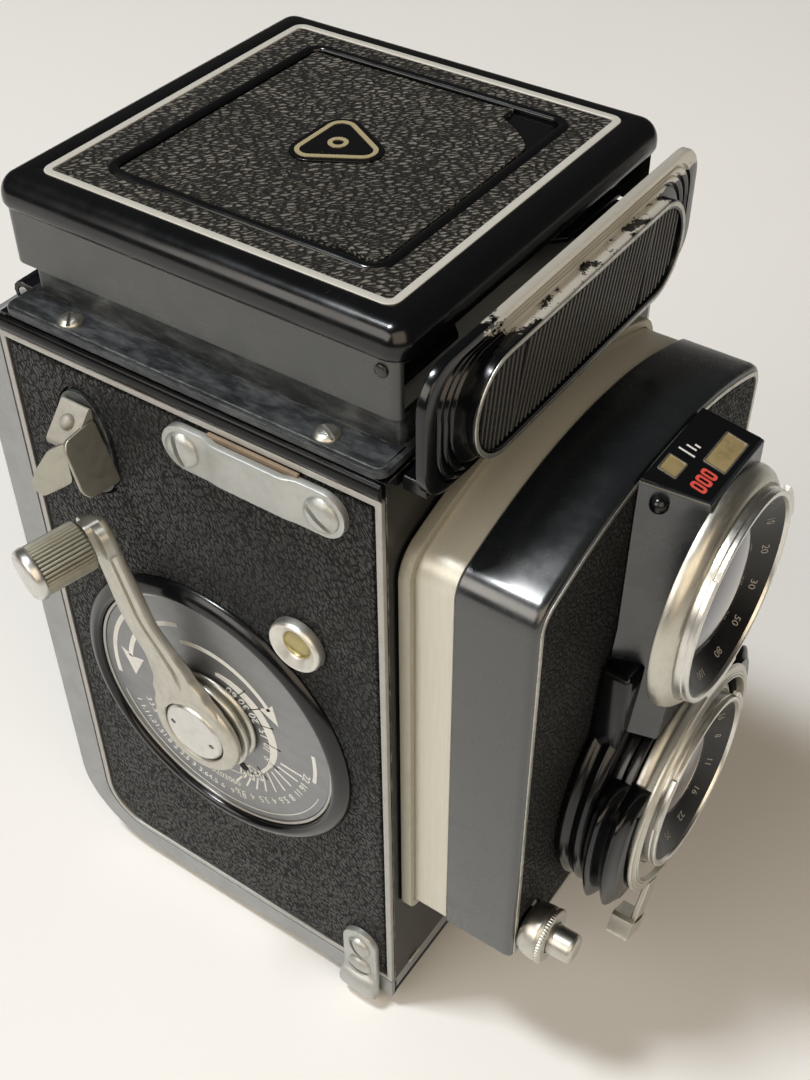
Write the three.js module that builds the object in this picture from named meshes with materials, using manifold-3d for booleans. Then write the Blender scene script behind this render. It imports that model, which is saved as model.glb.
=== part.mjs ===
// Twin-lens reflex camera for 120 roll film, built as an assembly of separate parts.
// Millimetres, +Z up. The lenses look along -Y and the winding crank is on the -X side.
// The origin is the mouth of the tripod socket, on the plane that the camera stands on.
import * as THREE from "three";
import { mergeVertices } from "three/addons/utils/BufferGeometryUtils.js";
import Module from "manifold-3d";

// ---- driving dimensions ----
const HALF_WIDTH = 38; // outside of the side trims
const SHELL_HALF = 37; // outside of the casting
const SHELL_FRONT = -38;
const SHELL_REAR = 30.75;
const SHELL_BOTTOM = 8;
const SHELL_TOP = 127;
const WALL = 2;
const CAVITY_HALF = SHELL_HALF - WALL;
const CORNER_RADIUS = 9; // rear bottom corner of the casting
const DOOR_REAR = 37;
const DOOR_BASE = 3;
const DOOR_GAP = 0.25;
const TAKING_Z = 53; // height of the lower lens axis
const VIEWING_Z = 96.5; // height of the upper lens axis
const FRAME_HALF = 28; // half of the 56 mm picture
const FILM_Y = 28;
const DIAL = { y: -2.75, z: 60.75, radius: 27.75 };
const SUPPLY = { y: 13, z: 94 };
const TAKEUP = { y: -9.5, z: 18.25 };
const SPOOL = { half: 32.75, flange: 12.5, core: 5.75, bore: 3, boreDepth: 4 };
const CRANK_REACH = 40.5;
const CRANK_TILT = THREE.MathUtils.degToRad(-17.5); // lean of the arm from upright, towards the back
const KNOB = { near: 2.5, far: 13, radius: 4.25, pivotX: -44.5, lean: THREE.MathUtils.degToRad(18) };
const PANEL = { half: 34.25, bottom: 30.75, apex: 119, crown: 85, corner: 5, rear: -46.75, front: -59.5 };
const HOOD = { half: 33, rim: 33.75, front: -38.5, rear: 31, top: 147.5, rimHeight: 5, skirtBottom: 133.5 };
const FLAP = { hinge: 30.5, rearHinge: 27, z: 134.9, thickness: 0.8, reach: 27, rearReach: 20, front: -34 };
const GEAR_MODULE = 1;
const GEAR_X = [-34.7, -33.2];
const TEETH = { crank: 28, idler: 18, takeup: 24 };
const DOOR_HINGE = { y: 33.5, z: 125.25, radius: 1.9, pin: 1 };
const KEY = { y: 16, z: 108 };
const RELEASE = { x: -29.5, z: 36.5 };
const FINE = 32; // sides of large turned parts
const MEDIUM = 22;
const COARSE = 12;
const LEATHER = { front: -36.25, rear: 29.25, bottom: 9.5, top: 122.75, radius: 7.5, thickness: 0.75 };

// ---- solids ----
const wasm = await Module();
wasm.setup();

function toSolid(geometry) {
  const bare = geometry.clone();
  bare.deleteAttribute("normal");
  bare.deleteAttribute("uv");
  const merged = mergeVertices(bare, 1e-4);
  const vertProperties = merged.attributes.position.array;
  const triVerts = new Uint32Array(merged.index.array);
  return new wasm.Manifold(new wasm.Mesh({ numProp: 3, vertProperties, triVerts }));
}

function toGeometry(made) {
  const mesh = made.getMesh();
  const geometry = new THREE.BufferGeometry();
  geometry.setAttribute("position", new THREE.BufferAttribute(mesh.vertProperties, 3));
  geometry.setIndex(new THREE.BufferAttribute(mesh.triVerts, 1));
  geometry.computeVertexNormals();
  return geometry;
}

function join(...pieces) {
  return toGeometry(pieces.map(toSolid).reduce((sum, next) => sum.add(next)));
}

function cut(body, ...tools) {
  return toGeometry(tools.map(toSolid).reduce((rest, tool) => rest.subtract(tool), toSolid(body)));
}

function common(one, other) {
  return toGeometry(toSolid(one).intersect(toSolid(other)));
}

// A box between two limits on each axis.
function slab([x0, x1], [y0, y1], [z0, z1]) {
  const box = new THREE.BoxGeometry(x1 - x0, y1 - y0, z1 - z0);
  return box.translate((x0 + x1) / 2, (y0 + y1) / 2, (z0 + z1) / 2);
}

// Turns a solid made along +Z so that it runs along another axis; a flat outline's
// (u, v) becomes (y, z) for "x", (x, z) for "y" and (x, y) for "z".
function alongAxis(geometry, axis) {
  if (axis === "x") return geometry.rotateX(Math.PI / 2).rotateZ(Math.PI / 2);
  if (axis === "y") return geometry.rotateX(Math.PI / 2);
  return geometry;
}

// A flat outline given thickness from one coordinate to another along an axis.
function plate(outline, axis, from, to, curveSegments = 3) {
  const options = { depth: to - from, bevelEnabled: false, curveSegments };
  const made = alongAxis(new THREE.ExtrudeGeometry(outline, options), axis);
  if (axis === "x") return made.translate(from, 0, 0);
  if (axis === "y") return made.translate(0, to, 0);
  return made.translate(0, 0, from);
}

// A profile of [radius, position] points turned about an axis through (u, v).
function turned(profile, axis, [u, v], segments = MEDIUM) {
  const points = profile.map(([radius, along]) => new THREE.Vector2(radius, along));
  const made = new THREE.LatheGeometry(points, segments);
  if (axis === "x") return made.rotateZ(-Math.PI / 2).translate(0, u, v);
  if (axis === "y") return made.translate(u, 0, v);
  return made.rotateX(Math.PI / 2).translate(u, v, 0);
}

// A round bar or pin between two positions along an axis.
function bar(radius, axis, from, to, centre, segments = COARSE) {
  return turned([[0, from], [radius, from], [radius, to], [0, to]], axis, centre, segments);
}

function roundedBox(u0, u1, v0, v1, radius) {
  const outline = new THREE.Shape();
  outline.moveTo(u0 + radius, v0);
  outline.lineTo(u1 - radius, v0);
  outline.absarc(u1 - radius, v0 + radius, radius, -Math.PI / 2, 0, false);
  outline.lineTo(u1, v1 - radius);
  outline.absarc(u1 - radius, v1 - radius, radius, 0, Math.PI / 2, false);
  outline.lineTo(u0 + radius, v1);
  outline.absarc(u0 + radius, v1 - radius, radius, Math.PI / 2, Math.PI, false);
  outline.lineTo(u0, v0 + radius);
  outline.absarc(u0 + radius, v0 + radius, radius, Math.PI, Math.PI * 1.5, false);
  return outline;
}

function polygon(points) {
  return new THREE.Shape(points.map(([u, v]) => new THREE.Vector2(u, v)));
}

// Side view of the casting: three square corners and one rounded corner at the bottom rear.
function sideOutline(front, rear, bottom, top, radius) {
  const outline = new THREE.Shape();
  outline.moveTo(front, bottom);
  outline.lineTo(rear - radius, bottom);
  outline.absarc(rear - radius, bottom + radius, radius, -Math.PI / 2, 0, false);
  outline.lineTo(rear, top);
  outline.lineTo(front, top);
  outline.closePath();
  return outline;
}

// Front view of the lens panel: upright sides and a low crowned top.
function crownedOutline(grow) {
  const half = PANEL.half + grow;
  const bottom = PANEL.bottom - grow;
  const crown = PANEL.crown + grow;
  const crownZ = PANEL.apex - PANEL.crown;
  const corner = PANEL.corner + grow;
  const foot = 1.5;
  const cornerX = half - corner;
  const cornerZ = crownZ + Math.sqrt((crown - corner) ** 2 - cornerX ** 2);
  const turn = Math.atan2(cornerZ - crownZ, cornerX);
  const outline = new THREE.Shape();
  outline.moveTo(-half + foot, bottom);
  outline.lineTo(half - foot, bottom);
  outline.absarc(half - foot, bottom + foot, foot, -Math.PI / 2, 0, false);
  outline.lineTo(half, cornerZ);
  outline.absarc(cornerX, cornerZ, corner, 0, turn, false);
  outline.absarc(0, crownZ, crown, turn, Math.PI - turn, false);
  outline.absarc(-cornerX, cornerZ, corner, Math.PI - turn, Math.PI, false);
  outline.lineTo(-half, bottom + foot);
  outline.absarc(-half + foot, bottom + foot, foot, Math.PI, Math.PI * 1.5, false);
  return outline;
}

// A square tapering tube section about the lower lens axis.
function squareTaper(frontHalf, rearHalf, frontY, rearY) {
  const taper = new THREE.CylinderGeometry(rearHalf * Math.SQRT2, frontHalf * Math.SQRT2, rearY - frontY, 4);
  return taper.rotateY(Math.PI / 4).translate(0, (frontY + rearY) / 2, TAKING_Z);
}

// ---- finishes ----
function finish(color, roughness, metalness) {
  return new THREE.MeshStandardMaterial({ color, roughness, metalness });
}

const FINISH = {
  enamel: finish(0x0b0c0e, 0.25, 0.1),
  satinBlack: finish(0x15171a, 0.5, 0.3),
  matteBlack: finish(0x101010, 0.9, 0),
  leather: finish(0x1c1c1c, 0.75, 0),
  trim: finish(0xb9b6ad, 0.35, 0.9),
  nickel: finish(0xb4b0a5, 0.3, 1),
  cream: finish(0xcfc9b8, 0.45, 0.4),
  dialGrey: finish(0x83868a, 0.4, 0.7),
  brass: finish(0xb08d4c, 0.35, 1),
  steel: finish(0x8d8f90, 0.4, 1),
  mirror: finish(0xd8dde0, 0.05, 1),
  glass: finish(0x9fb0b8, 0.05, 0),
  frosted: finish(0xdfe3e0, 0.8, 0),
};

const camera = new THREE.Group();

function part(group, name, geometry, material) {
  const mesh = new THREE.Mesh(geometry, material);
  mesh.name = name;
  group.add(mesh);
  return mesh;
}

function assembly() {
  const group = new THREE.Group();
  camera.add(group);
  return group;
}

// ---- casting and what is fixed to it ----
function bodyShell() {
  const outline = sideOutline(SHELL_FRONT, SHELL_REAR, SHELL_BOTTOM, SHELL_TOP, CORNER_RADIUS);
  const outer = plate(outline, "x", -SHELL_HALF, SHELL_HALF);
  const cavity = slab([-CAVITY_HALF, CAVITY_HALF], [SHELL_FRONT + WALL, 50], [0, SHELL_TOP - 2.5]);
  const lensWindow = plate(crownedOutline(-0.2), "y", SHELL_FRONT - 2, SHELL_FRONT + 3);
  const glassSeat = slab([-28.5, 28.5], [-33.5, 23.5], [SHELL_TOP - 5, SHELL_TOP + 2]);
  const crankHole = bar(3.3, "x", -40, -30, [DIAL.y, DIAL.z]);
  const knobHoles = [SUPPLY, TAKEUP].map((at) => bar(4.3, "x", 30, 40, [at.y, at.z]));
  const keyHole = bar(2.3, "x", -40, -30, [KEY.y, KEY.z]);
  const reach = [SHELL_REAR - 6, DOOR_HINGE.y];
  const knuckles = [-1, 1].map((side) => {
    const span = side < 0 ? [-30, -10.3] : [10.3, 30];
    const arm = slab(span, reach, [DOOR_HINGE.z - 0.6, DOOR_HINGE.z + DOOR_HINGE.radius - 0.2]);
    return join(arm, bar(DOOR_HINGE.radius, "x", span[0], span[1], [DOOR_HINGE.y, DOOR_HINGE.z]));
  });
  const pinHole = bar(DOOR_HINGE.pin + 0.1, "x", -31, 31, [DOOR_HINGE.y, DOOR_HINGE.z]);
  const hollow = cut(outer, cavity, lensWindow, glassSeat, crankHole, keyHole, ...knobHoles);
  return cut(join(hollow, ...knuckles), pinHole);
}

// The light-tight box behind the lower lens, with the picture opening at its rear.
function filmChamber() {
  const front = -30;
  const rear = FILM_Y - 0.5;
  const gate = slab([-34.5, 34.5], [rear - 1.75, rear], [22, 84]);
  const outer = squareTaper(15.5, FRAME_HALF + 1.2, front, rear - 1);
  const inner = squareTaper(14.3, FRAME_HALF, front - 0.5, rear + 0.5);
  return cut(join(gate, outer), inner);
}

// The 45 degree mirror and the tray under it, both laid on the line z - y = 102.5.
function tilted(width, length, thickness, below) {
  const box = new THREE.BoxGeometry(width, length, thickness);
  box.translate(0, 0, -below - thickness / 2);
  return box.rotateX(Math.PI / 4).translate(0, -5.5, 97);
}

function groundGlass() {
  return slab([-28.2, 28.2], [-33.2, 23.2], [125, 126.6]);
}

function hoodBase() {
  const ledge = plate(roundedBox(-37.5, 37.5, -37.7, 29.5, 2), "z", SHELL_TOP + 0.25, 128.5);
  const upstand = plate(roundedBox(-31.5, 31.5, -36.5, 28.2, 1.5), "z", SHELL_TOP + 0.5, 133.2);
  const well = slab([-30.7, 30.7], [-35.7, 27.4], [128.5, 140]);
  const opening = slab([-27.5, 27.5], [-32.5, 22.5], [120, 140]);
  return cut(join(ledge, upstand), well, opening);
}

function hoodScrew() {
  return turned([[0, 0], [1, 0], [2.1, 0], [2.1, 0.5], [1.4, 1.1], [0, 1.25]], "z", [0, 0], COARSE);
}

function sidePanel(side) {
  const { front, rear, bottom, top, radius, thickness } = LEATHER;
  const outer = SHELL_HALF + thickness;
  const [from, to] = side < 0 ? [-outer, -SHELL_HALF] : [SHELL_HALF, outer];
  const skin = plate(sideOutline(front, rear, bottom, top, radius), "x", from, to);
  const dialHole = bar(DIAL.radius + 0.25, "x", -40, -30, [DIAL.y, DIAL.z], FINE);
  const keyHole = bar(2.6, "x", -40, -30, [KEY.y, KEY.z]);
  const knobHoles = [SUPPLY, TAKEUP].map((at) => bar(4.6, "x", 30, 40, [at.y, at.z]));
  return side < 0 ? cut(skin, dialHole, keyHole) : cut(skin, ...knobHoles);
}

function sideTrim(side) {
  const [from, to] = side < 0 ? [-HALF_WIDTH, -SHELL_HALF] : [SHELL_HALF, HALF_WIDTH];
  const outer = sideOutline(SHELL_FRONT, SHELL_REAR, SHELL_BOTTOM, 124.5, CORNER_RADIUS);
  const inner = sideOutline(LEATHER.front - 0.1, LEATHER.rear + 0.1, LEATHER.bottom - 0.1,
    LEATHER.top + 0.1, LEATHER.radius);
  return cut(plate(outer, "x", from, to), plate(inner, "x", from - 1, to + 1));
}

function frontFrame() {
  const ring = plate(crownedOutline(1), "y", -40.25, SHELL_FRONT - 0.25);
  return cut(ring, plate(crownedOutline(-0.2), "y", -42, -36));
}

// The name casting above the lens panel, its raised oval left blank.
function nameplate() {
  const face = plate(roundedBox(-36.25, 36.25, 124.25, 144.5, 6), "y", -43.25, -41.75);
  const foot = slab([-34, 34], [-42, SHELL_FRONT - 0.25], [124.25, 126.75]);
  const oval = plate(roundedBox(-28.75, 28.75, 125.25, 141.25, 7.9), "y", -45.75, -43);
  return join(face, foot, oval);
}

function strapLug(side) {
  const [from, to] = side < 0 ? [-39.5, -38.1] : [38.1, 39.5];
  const strip = plate(roundedBox(-32.75, -1.25, 115.1, 122.7, 3.75), "x", from, to, 4);
  const [headFrom, headTo] = side < 0 ? [-40, -39.4] : [39.4, 40];
  const screws = [-4.75, -29.25].map((y) => bar(3, "x", headFrom, headTo, [y, 118.9]));
  return join(strip, ...screws);
}

function cornerCatch(side) {
  const [from, to] = side < 0 ? [-39.3, -38.1] : [38.1, 39.3];
  const strip = plate(roundedBox(-35.75, -27.5, 2.5, 20.25, 3.5), "x", from, to, 4);
  const curl = bar(2.2, "y", -35, -28.5, [side * 40.4, 2.75]);
  return join(strip, curl);
}

function dialRing() {
  const bore = 24.5;
  const profile = [
    [bore, -37.05], [bore, -38.6], [25.2, -39.7], [26.6, -39.7],
    [DIAL.radius, -38.5], [DIAL.radius, -37.05], [bore, -37.05],
  ];
  return turned(profile, "x", [DIAL.y, DIAL.z], FINE);
}

function dialDisc() {
  const profile = [[6, -38.3], [24.2, -38.3], [24.2, -37.3], [6, -37.3], [6, -38.3]];
  return turned(profile, "x", [DIAL.y, DIAL.z], FINE);
}

function syncSocket() {
  const profile = [[0, -39], [2.4, -39], [2.4, -40.8], [4, -40.8], [5, -38.1], [0, -38.1]];
  return turned(profile, "x", [-22.6, 89.8]);
}

function keyBase() {
  const outline = new THREE.Shape();
  outline.moveTo(2.5, 10);
  outline.quadraticCurveTo(7, 4, 5.5, -2);
  outline.quadraticCurveTo(0, -9, -5.5, -2);
  outline.quadraticCurveTo(-6, 5, 2.5, 10);
  const shield = plate(outline, "x", -38.4, -37.9).translate(0, KEY.y, KEY.z);
  return cut(shield, bar(2.6, "x", -40, -30, [KEY.y, KEY.z]));
}

function filmRoller() {
  return turned([[0, -34.4], [2, -34.4], [2, 34.4], [0, 34.4]], "x", [0, 0], COARSE);
}

function buildFixedParts() {
  const group = assembly();
  part(group, "body_shell", bodyShell(), FINISH.satinBlack);
  part(group, "film_chamber", filmChamber(), FINISH.matteBlack);
  part(group, "reflex_mirror", tilted(54, 62, 1.5, 0), FINISH.mirror);
  part(group, "mirror_tray", tilted(56, 63, 0.6, 1.8), FINISH.satinBlack);
  part(group, "ground_glass", groundGlass(), FINISH.frosted);
  part(group, "hood_base", hoodBase(), FINISH.satinBlack);
  for (const [end, y] of [["front", -27], ["rear", 18.5]]) {
    for (const [sideName, side] of [["crank_side", -1], ["knob_side", 1]]) {
      const screw = part(group, `hood_screw_${sideName}_${end}`, hoodScrew(), FINISH.nickel);
      screw.position.set(side * 34.6, y, 128.6);
    }
  }
  for (const [sideName, side] of [["crank_side", -1], ["knob_side", 1]]) {
    part(group, `${sideName}_leather`, sidePanel(side), FINISH.leather);
    part(group, `${sideName}_trim`, sideTrim(side), FINISH.trim);
    part(group, `${sideName}_strap_lug`, strapLug(side), FINISH.nickel);
    part(group, `${sideName}_corner_catch`, cornerCatch(side), FINISH.nickel);
  }
  part(group, "front_frame", frontFrame(), FINISH.cream);
  part(group, "nameplate", nameplate(), FINISH.enamel);
  part(group, "dial_ring", dialRing(), FINISH.enamel);
  part(group, "dial_disc", dialDisc(), FINISH.dialGrey);
  part(group, "sync_socket", syncSocket(), FINISH.nickel);
  part(group, "key_base", keyBase(), FINISH.satinBlack);
  const pin = bar(DOOR_HINGE.pin, "x", -30, 30, [DOOR_HINGE.y, DOOR_HINGE.z]);
  part(group, "door_hinge_pin", pin, FINISH.steel);
}

// ---- film transport ----
// A spur gear with straight flanks, trimmed so that meshing teeth stay clear of each other.
function gear(teeth, centre, phase, bore) {
  const pitch = (teeth * GEAR_MODULE) / 2;
  const step = (2 * Math.PI) / teeth;
  const outline = new THREE.Shape();
  for (let tooth = 0; tooth < teeth; tooth += 1) {
    const middle = phase + tooth * step;
    const corners = [[pitch - 0.95, -0.3], [pitch + 0.7, -0.12], [pitch + 0.7, 0.12], [pitch - 0.95, 0.3]];
    corners.forEach(([radius, share], corner) => {
      const angle = middle + share * step;
      const u = radius * Math.cos(angle);
      const v = radius * Math.sin(angle);
      if (tooth === 0 && corner === 0) outline.moveTo(u, v);
      else outline.lineTo(u, v);
    });
  }
  outline.closePath();
  const hole = new THREE.Path();
  hole.absarc(0, 0, bore, 0, 2 * Math.PI, true);
  outline.holes.push(hole);
  return plate(outline, "x", GEAR_X[0], GEAR_X[1], 5).translate(0, centre.y, centre.z);
}

// The idler stands where its pitch circle touches those of the crank gear and the take-up gear.
function idlerCentre() {
  const near = (GEAR_MODULE * (TEETH.crank + TEETH.idler)) / 2;
  const far = (GEAR_MODULE * (TEETH.takeup + TEETH.idler)) / 2;
  const dy = TAKEUP.y - DIAL.y;
  const dz = TAKEUP.z - DIAL.z;
  const span = Math.hypot(dy, dz);
  const along = (near ** 2 - far ** 2 + span ** 2) / (2 * span);
  const aside = Math.sqrt(near ** 2 - along ** 2);
  return { y: DIAL.y + (along * dy + aside * dz) / span, z: DIAL.z + (along * dz - aside * dy) / span };
}

function spool() {
  const { half, flange, core, bore, boreDepth } = SPOOL;
  const profile = [
    [0, half - boreDepth], [bore, half - boreDepth], [bore, half], [flange, half], [flange, half - 0.8],
    [core, half - 0.8], [core, -half + 0.8], [flange, -half + 0.8], [flange, -half], [bore, -half],
    [bore, -half + boreDepth], [0, -half + boreDepth],
  ];
  return turned(profile.reverse(), "x", [0, 0]);
}

function buildTransport() {
  const idler = idlerCentre();
  const towardIdler = Math.atan2(idler.z - DIAL.z, idler.y - DIAL.y);
  const towardTakeup = Math.atan2(TAKEUP.z - idler.z, TAKEUP.y - idler.y);
  const idlerStep = (2 * Math.PI) / TEETH.idler;
  const takeupStep = (2 * Math.PI) / TEETH.takeup;
  // A crank tooth points at the idler, which shows it a gap and meets the take-up gear as it falls.
  const idlerPhase = towardIdler + Math.PI + idlerStep / 2;
  const shown = ((towardTakeup - idlerPhase) / idlerStep) % 1;
  const takeupPhase = towardTakeup + Math.PI + (shown + 0.5) * takeupStep;

  const supply = assembly();
  supply.position.set(0, SUPPLY.y, SUPPLY.z);
  part(supply, "supply_spool", spool(), FINISH.matteBlack);

  part(assembly(), "idler_gear", gear(TEETH.idler, idler, idlerPhase, 1.6), FINISH.brass);

  const takeup = assembly();
  const takeupSpool = part(takeup, "takeup_spool", spool(), FINISH.matteBlack);
  takeupSpool.position.set(0, TAKEUP.y, TAKEUP.z);
  const hub = bar(SPOOL.bore - 0.4, "x", -34.7, -29.5, [TAKEUP.y, TAKEUP.z]);
  const takeupGear = join(gear(TEETH.takeup, TAKEUP, takeupPhase, 1.5), hub);
  part(takeup, "takeup_gear", takeupGear, FINISH.brass);

  for (const [name, y, z] of [["upper_film_roller", 26, 86.6], ["lower_film_roller", 26, 19.4]]) {
    const roller = part(assembly(), name, filmRoller(), FINISH.steel);
    roller.position.set(0, y, z);
  }
  return towardIdler;
}

// ---- crank ----
function crankHub() {
  const profile = [
    [0, -44], [5.9, -44], [6.1, -43.6], [6.1, -41.2], [9.3, -41.2], [9.3, -40.4], [7.9, -39.6],
    [7.9, -38.7], [3, -38.7], [3, -35], [2.3, -35], [2.3, -32.8], [0, -32.8],
  ];
  return turned(profile, "x", [DIAL.y, DIAL.z]);
}

// The arm leaves the hub low and rises to the knob; it is drawn upright and then leaned back.
function crankArm() {
  const side = new THREE.Shape();
  side.moveTo(-41.5, 0);
  side.lineTo(-43.7, 0);
  side.lineTo(-43.7, 10);
  side.quadraticCurveTo(-43.8, 16, -44.4, 22);
  side.lineTo(-45.2, 28);
  side.lineTo(-45.2, CRANK_REACH + 3.5);
  side.lineTo(-43.7, CRANK_REACH + 3.5);
  side.lineTo(-43.2, 26);
  side.quadraticCurveTo(-41.7, 18, -41.5, 10);
  const blade = plate(side, "y", -2.6, 2.6, 4);
  const collar = turned([[0, -43.7], [8.9, -43.7], [8.9, -41.5], [0, -41.5]], "x", [0, 0]);
  const boss = bar(3.9, "x", -45.2, -43.4, [0, CRANK_REACH], MEDIUM);
  const axle = onKnobAxis(bar(1.4, "x", -KNOB.far + 3, -0.2, [0, 0]));
  const bore = bar(6.35, "x", -50, -35, [0, 0], MEDIUM);
  return cut(join(blade, collar, boss, axle), bore).rotateX(CRANK_TILT).translate(0, DIAL.y, DIAL.z);
}

// Moves a piece drawn outwards along -X from the arm's knob pivot onto the knob's leaning axis.
function onKnobAxis(geometry) {
  return geometry.rotateZ(-KNOB.lean).translate(KNOB.pivotX, 0, CRANK_REACH);
}

function crankKnob() {
  const { near, far, radius } = KNOB;
  const boreEnd = 2.6; // thickness of the cap beyond the axle
  const profile = [
    [0, -far], [radius - 0.6, -far], [radius, -far + 0.7], [radius, -near],
    [1.65, -near], [1.65, -far + boreEnd], [0, -far + boreEnd],
  ];
  return onKnobAxis(turned(profile, "x", [0, 0])).rotateX(CRANK_TILT).translate(0, DIAL.y, DIAL.z);
}

// A small turning key: a riveted head, a standing leaf and a shorter leaf folded out from it.
function wingKey() {
  const headProfile = [[0, -40.6], [4.4, -40.6], [4.6, -38.8], [2, -38.8], [2, -36], [0, -36]];
  const boss = turned(headProfile, "x", [0, 0], COARSE);
  const standing = plate(roundedBox(-45.2, -39, -5.4, 3.5, 1.6), "y", -1.6, -0.4);
  const folded = plate(roundedBox(-50.2, -44, -4.6, 2, 2.4), "y", -0.6, 0.6);
  return join(boss, standing, folded).translate(0, KEY.y, KEY.z);
}

function spoolKnob(at) {
  const profile = [
    [0, 29.2], [2.6, 29.2], [2.6, 34], [3.9, 34], [3.9, 38.2], [6.5, 38.2], [6.5, 43.2], [5.8, 44], [0, 44],
  ];
  return turned(profile, "x", [at.y, at.z]);
}

function buildCrank(towardIdler) {
  const crank = assembly();
  part(crank, "crank_hub", crankHub(), FINISH.nickel);
  part(crank, "crank_arm", crankArm(), FINISH.nickel);
  part(crank, "crank_gear", gear(TEETH.crank, DIAL, towardIdler, 2.6), FINISH.brass);
  part(assembly(), "crank_knob", crankKnob(), FINISH.nickel);
  part(assembly(), "wing_key", wingKey(), FINISH.nickel);
  part(assembly(), "upper_spool_knob", spoolKnob(SUPPLY), FINISH.nickel);
  part(assembly(), "lower_spool_knob", spoolKnob(TAKEUP), FINISH.nickel);
}

// ---- front standard, which slides to focus ----
const VIEWING = { bore: 13.5, tube: 16.5, flange: 19.25, front: -74.25 };
const TAKING = { bore: 11.5, tube: 15.5, flange: 18.25, front: -74 };

function frontPanel() {
  const box = plate(crownedOutline(0), "y", PANEL.front, PANEL.rear);
  const inside = plate(crownedOutline(-1.5), "y", PANEL.front + 2, PANEL.rear + 2);
  const holes = [[VIEWING, VIEWING_Z], [TAKING, TAKING_Z]].map(([lens, z]) => {
    return bar(lens.tube + 0.3, "y", -70, -40, [0, z], FINE);
  });
  const releaseHole = bar(2.9, "y", -62, -55, [RELEASE.x, RELEASE.z]);
  return cut(box, inside, releaseHole, ...holes);
}

function frontSkirt() {
  const sleeve = plate(crownedOutline(-0.5), "y", PANEL.rear + 0.25, -33);
  return cut(sleeve, plate(crownedOutline(-1.5), "y", PANEL.rear - 2, -31));
}

function shutterHousing() {
  const rear = PANEL.front - 0.25;
  const chamferedDisc = (radius, front, z) => {
    const profile = [[0, front], [radius - 1, front], [radius, front + 1], [radius, rear], [0, rear]];
    return turned(profile, "y", [0, z], FINE);
  };
  const upper = chamferedDisc(20.6, -66.5, VIEWING_Z);
  const lower = chamferedDisc(23.5, -65, TAKING_Z);
  const web = slab([-14, 14], [-65, rear], [TAKING_Z + 10, VIEWING_Z - 10]);
  const blockSide = polygon([[rear, VIEWING_Z], [rear, 118.5], [-70, 116.25], [-70.25, VIEWING_Z]]);
  const block = plate(blockSide, "x", -10, 9.25);
  const bores = [[VIEWING, VIEWING_Z], [TAKING, TAKING_Z]].map(([lens, z]) => {
    return bar(lens.tube + 0.3, "y", -75, -50, [0, z], FINE);
  });
  const flangeSeat = bar(VIEWING.flange + 0.3, "y", -76, -66.6, [0, VIEWING_Z], FINE);
  return cut(join(upper, lower, web, block), ...bores, flangeSeat);
}

function lensBarrel(lens, rearY, stepY, axisZ) {
  const profile = [
    [lens.bore, rearY], [lens.bore, lens.front + 3.5], [lens.flange - 2.6, lens.front + 1.4],
    [lens.flange - 1.4, lens.front], [lens.flange - 0.6, lens.front], [lens.flange, lens.front + 1.6],
    [lens.flange, stepY], [lens.tube, stepY], [lens.tube, rearY], [lens.bore, rearY],
  ];
  return turned(profile, "y", [0, axisZ], FINE);
}

function lensGlass(radius, front, rear, axisZ) {
  const bulge = 1.6;
  const profile = [
    [0, front - bulge], [radius * 0.5, front - bulge * 0.75], [radius, front],
    [radius, rear], [radius * 0.5, rear + bulge * 0.4], [0, rear + bulge * 0.5],
  ];
  return turned(profile, "y", [0, axisZ]);
}

// A thin ring about the lower lens with one fluted thumb grip on its rim.
function settingLever([ringFront, ringRear], gripAngle) {
  const gripHalf = THREE.MathUtils.degToRad(30);
  const tube = TAKING.tube + 0.4;
  const rim = 19.2;
  const profile = [[tube, ringFront], [rim, ringFront], [rim, ringRear], [tube, ringRear], [tube, ringFront]];
  const ring = turned(profile, "y", [0, 0], FINE);
  const sector = (inner, outerAt) => {
    const outline = new THREE.Shape();
    const steps = 16;
    for (let step = 0; step <= steps; step += 1) {
      const angle = gripAngle - gripHalf + (2 * gripHalf * step) / steps;
      const radius = outerAt(step);
      if (step === 0) outline.moveTo(radius * Math.cos(angle), radius * Math.sin(angle));
      else outline.lineTo(radius * Math.cos(angle), radius * Math.sin(angle));
    }
    outline.absarc(0, 0, inner, gripAngle + gripHalf, gripAngle - gripHalf, true);
    return outline;
  };
  const web = plate(sector(rim - 1.2, () => rim + 0.9), "y", ringFront, ringRear);
  const flutes = (step) => 24.6 + 0.9 * Math.cos((step * Math.PI) / 2);
  const grip = plate(sector(rim + 0.4, flutes), "y", -71.5, -65.3);
  return join(ring, web, grip).translate(0, 0, TAKING_Z);
}

function releaseCollar() {
  const profile = [
    [2.9, -64.6], [4.4, -64.6], [4.9, -64], [4.9, -59.8], [2.9, -59.8], [2.9, -64.6],
  ];
  return turned(profile, "y", [RELEASE.x, RELEASE.z]);
}

function releaseButton() {
  const profile = [[0, -69], [2.3, -69], [2.6, -68.6], [2.6, -60], [0, -60]];
  return turned(profile, "y", [RELEASE.x, RELEASE.z], COARSE);
}

// The focusing lever hangs from a ring about the lower lens and leans to the crank side.
const FOCUS_LEAN = THREE.MathUtils.degToRad(-30);

function focusLever() {
  const [bore, rim, front, rear] = [18.55, 20.6, -73, -72];
  const ringProfile = [[bore, front], [rim, front], [rim, rear], [bore, rear], [bore, front]];
  const ring = turned(ringProfile, "y", [0, 0], FINE);
  const blade = slab([-2, 2], [-73, -72], [-28, -20]);
  const tip = slab([-3, 3], [-73, -69], [-31, -27.2]);
  return join(ring, blade, tip).rotateY(-FOCUS_LEAN).translate(0, 0, TAKING_Z);
}

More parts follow.
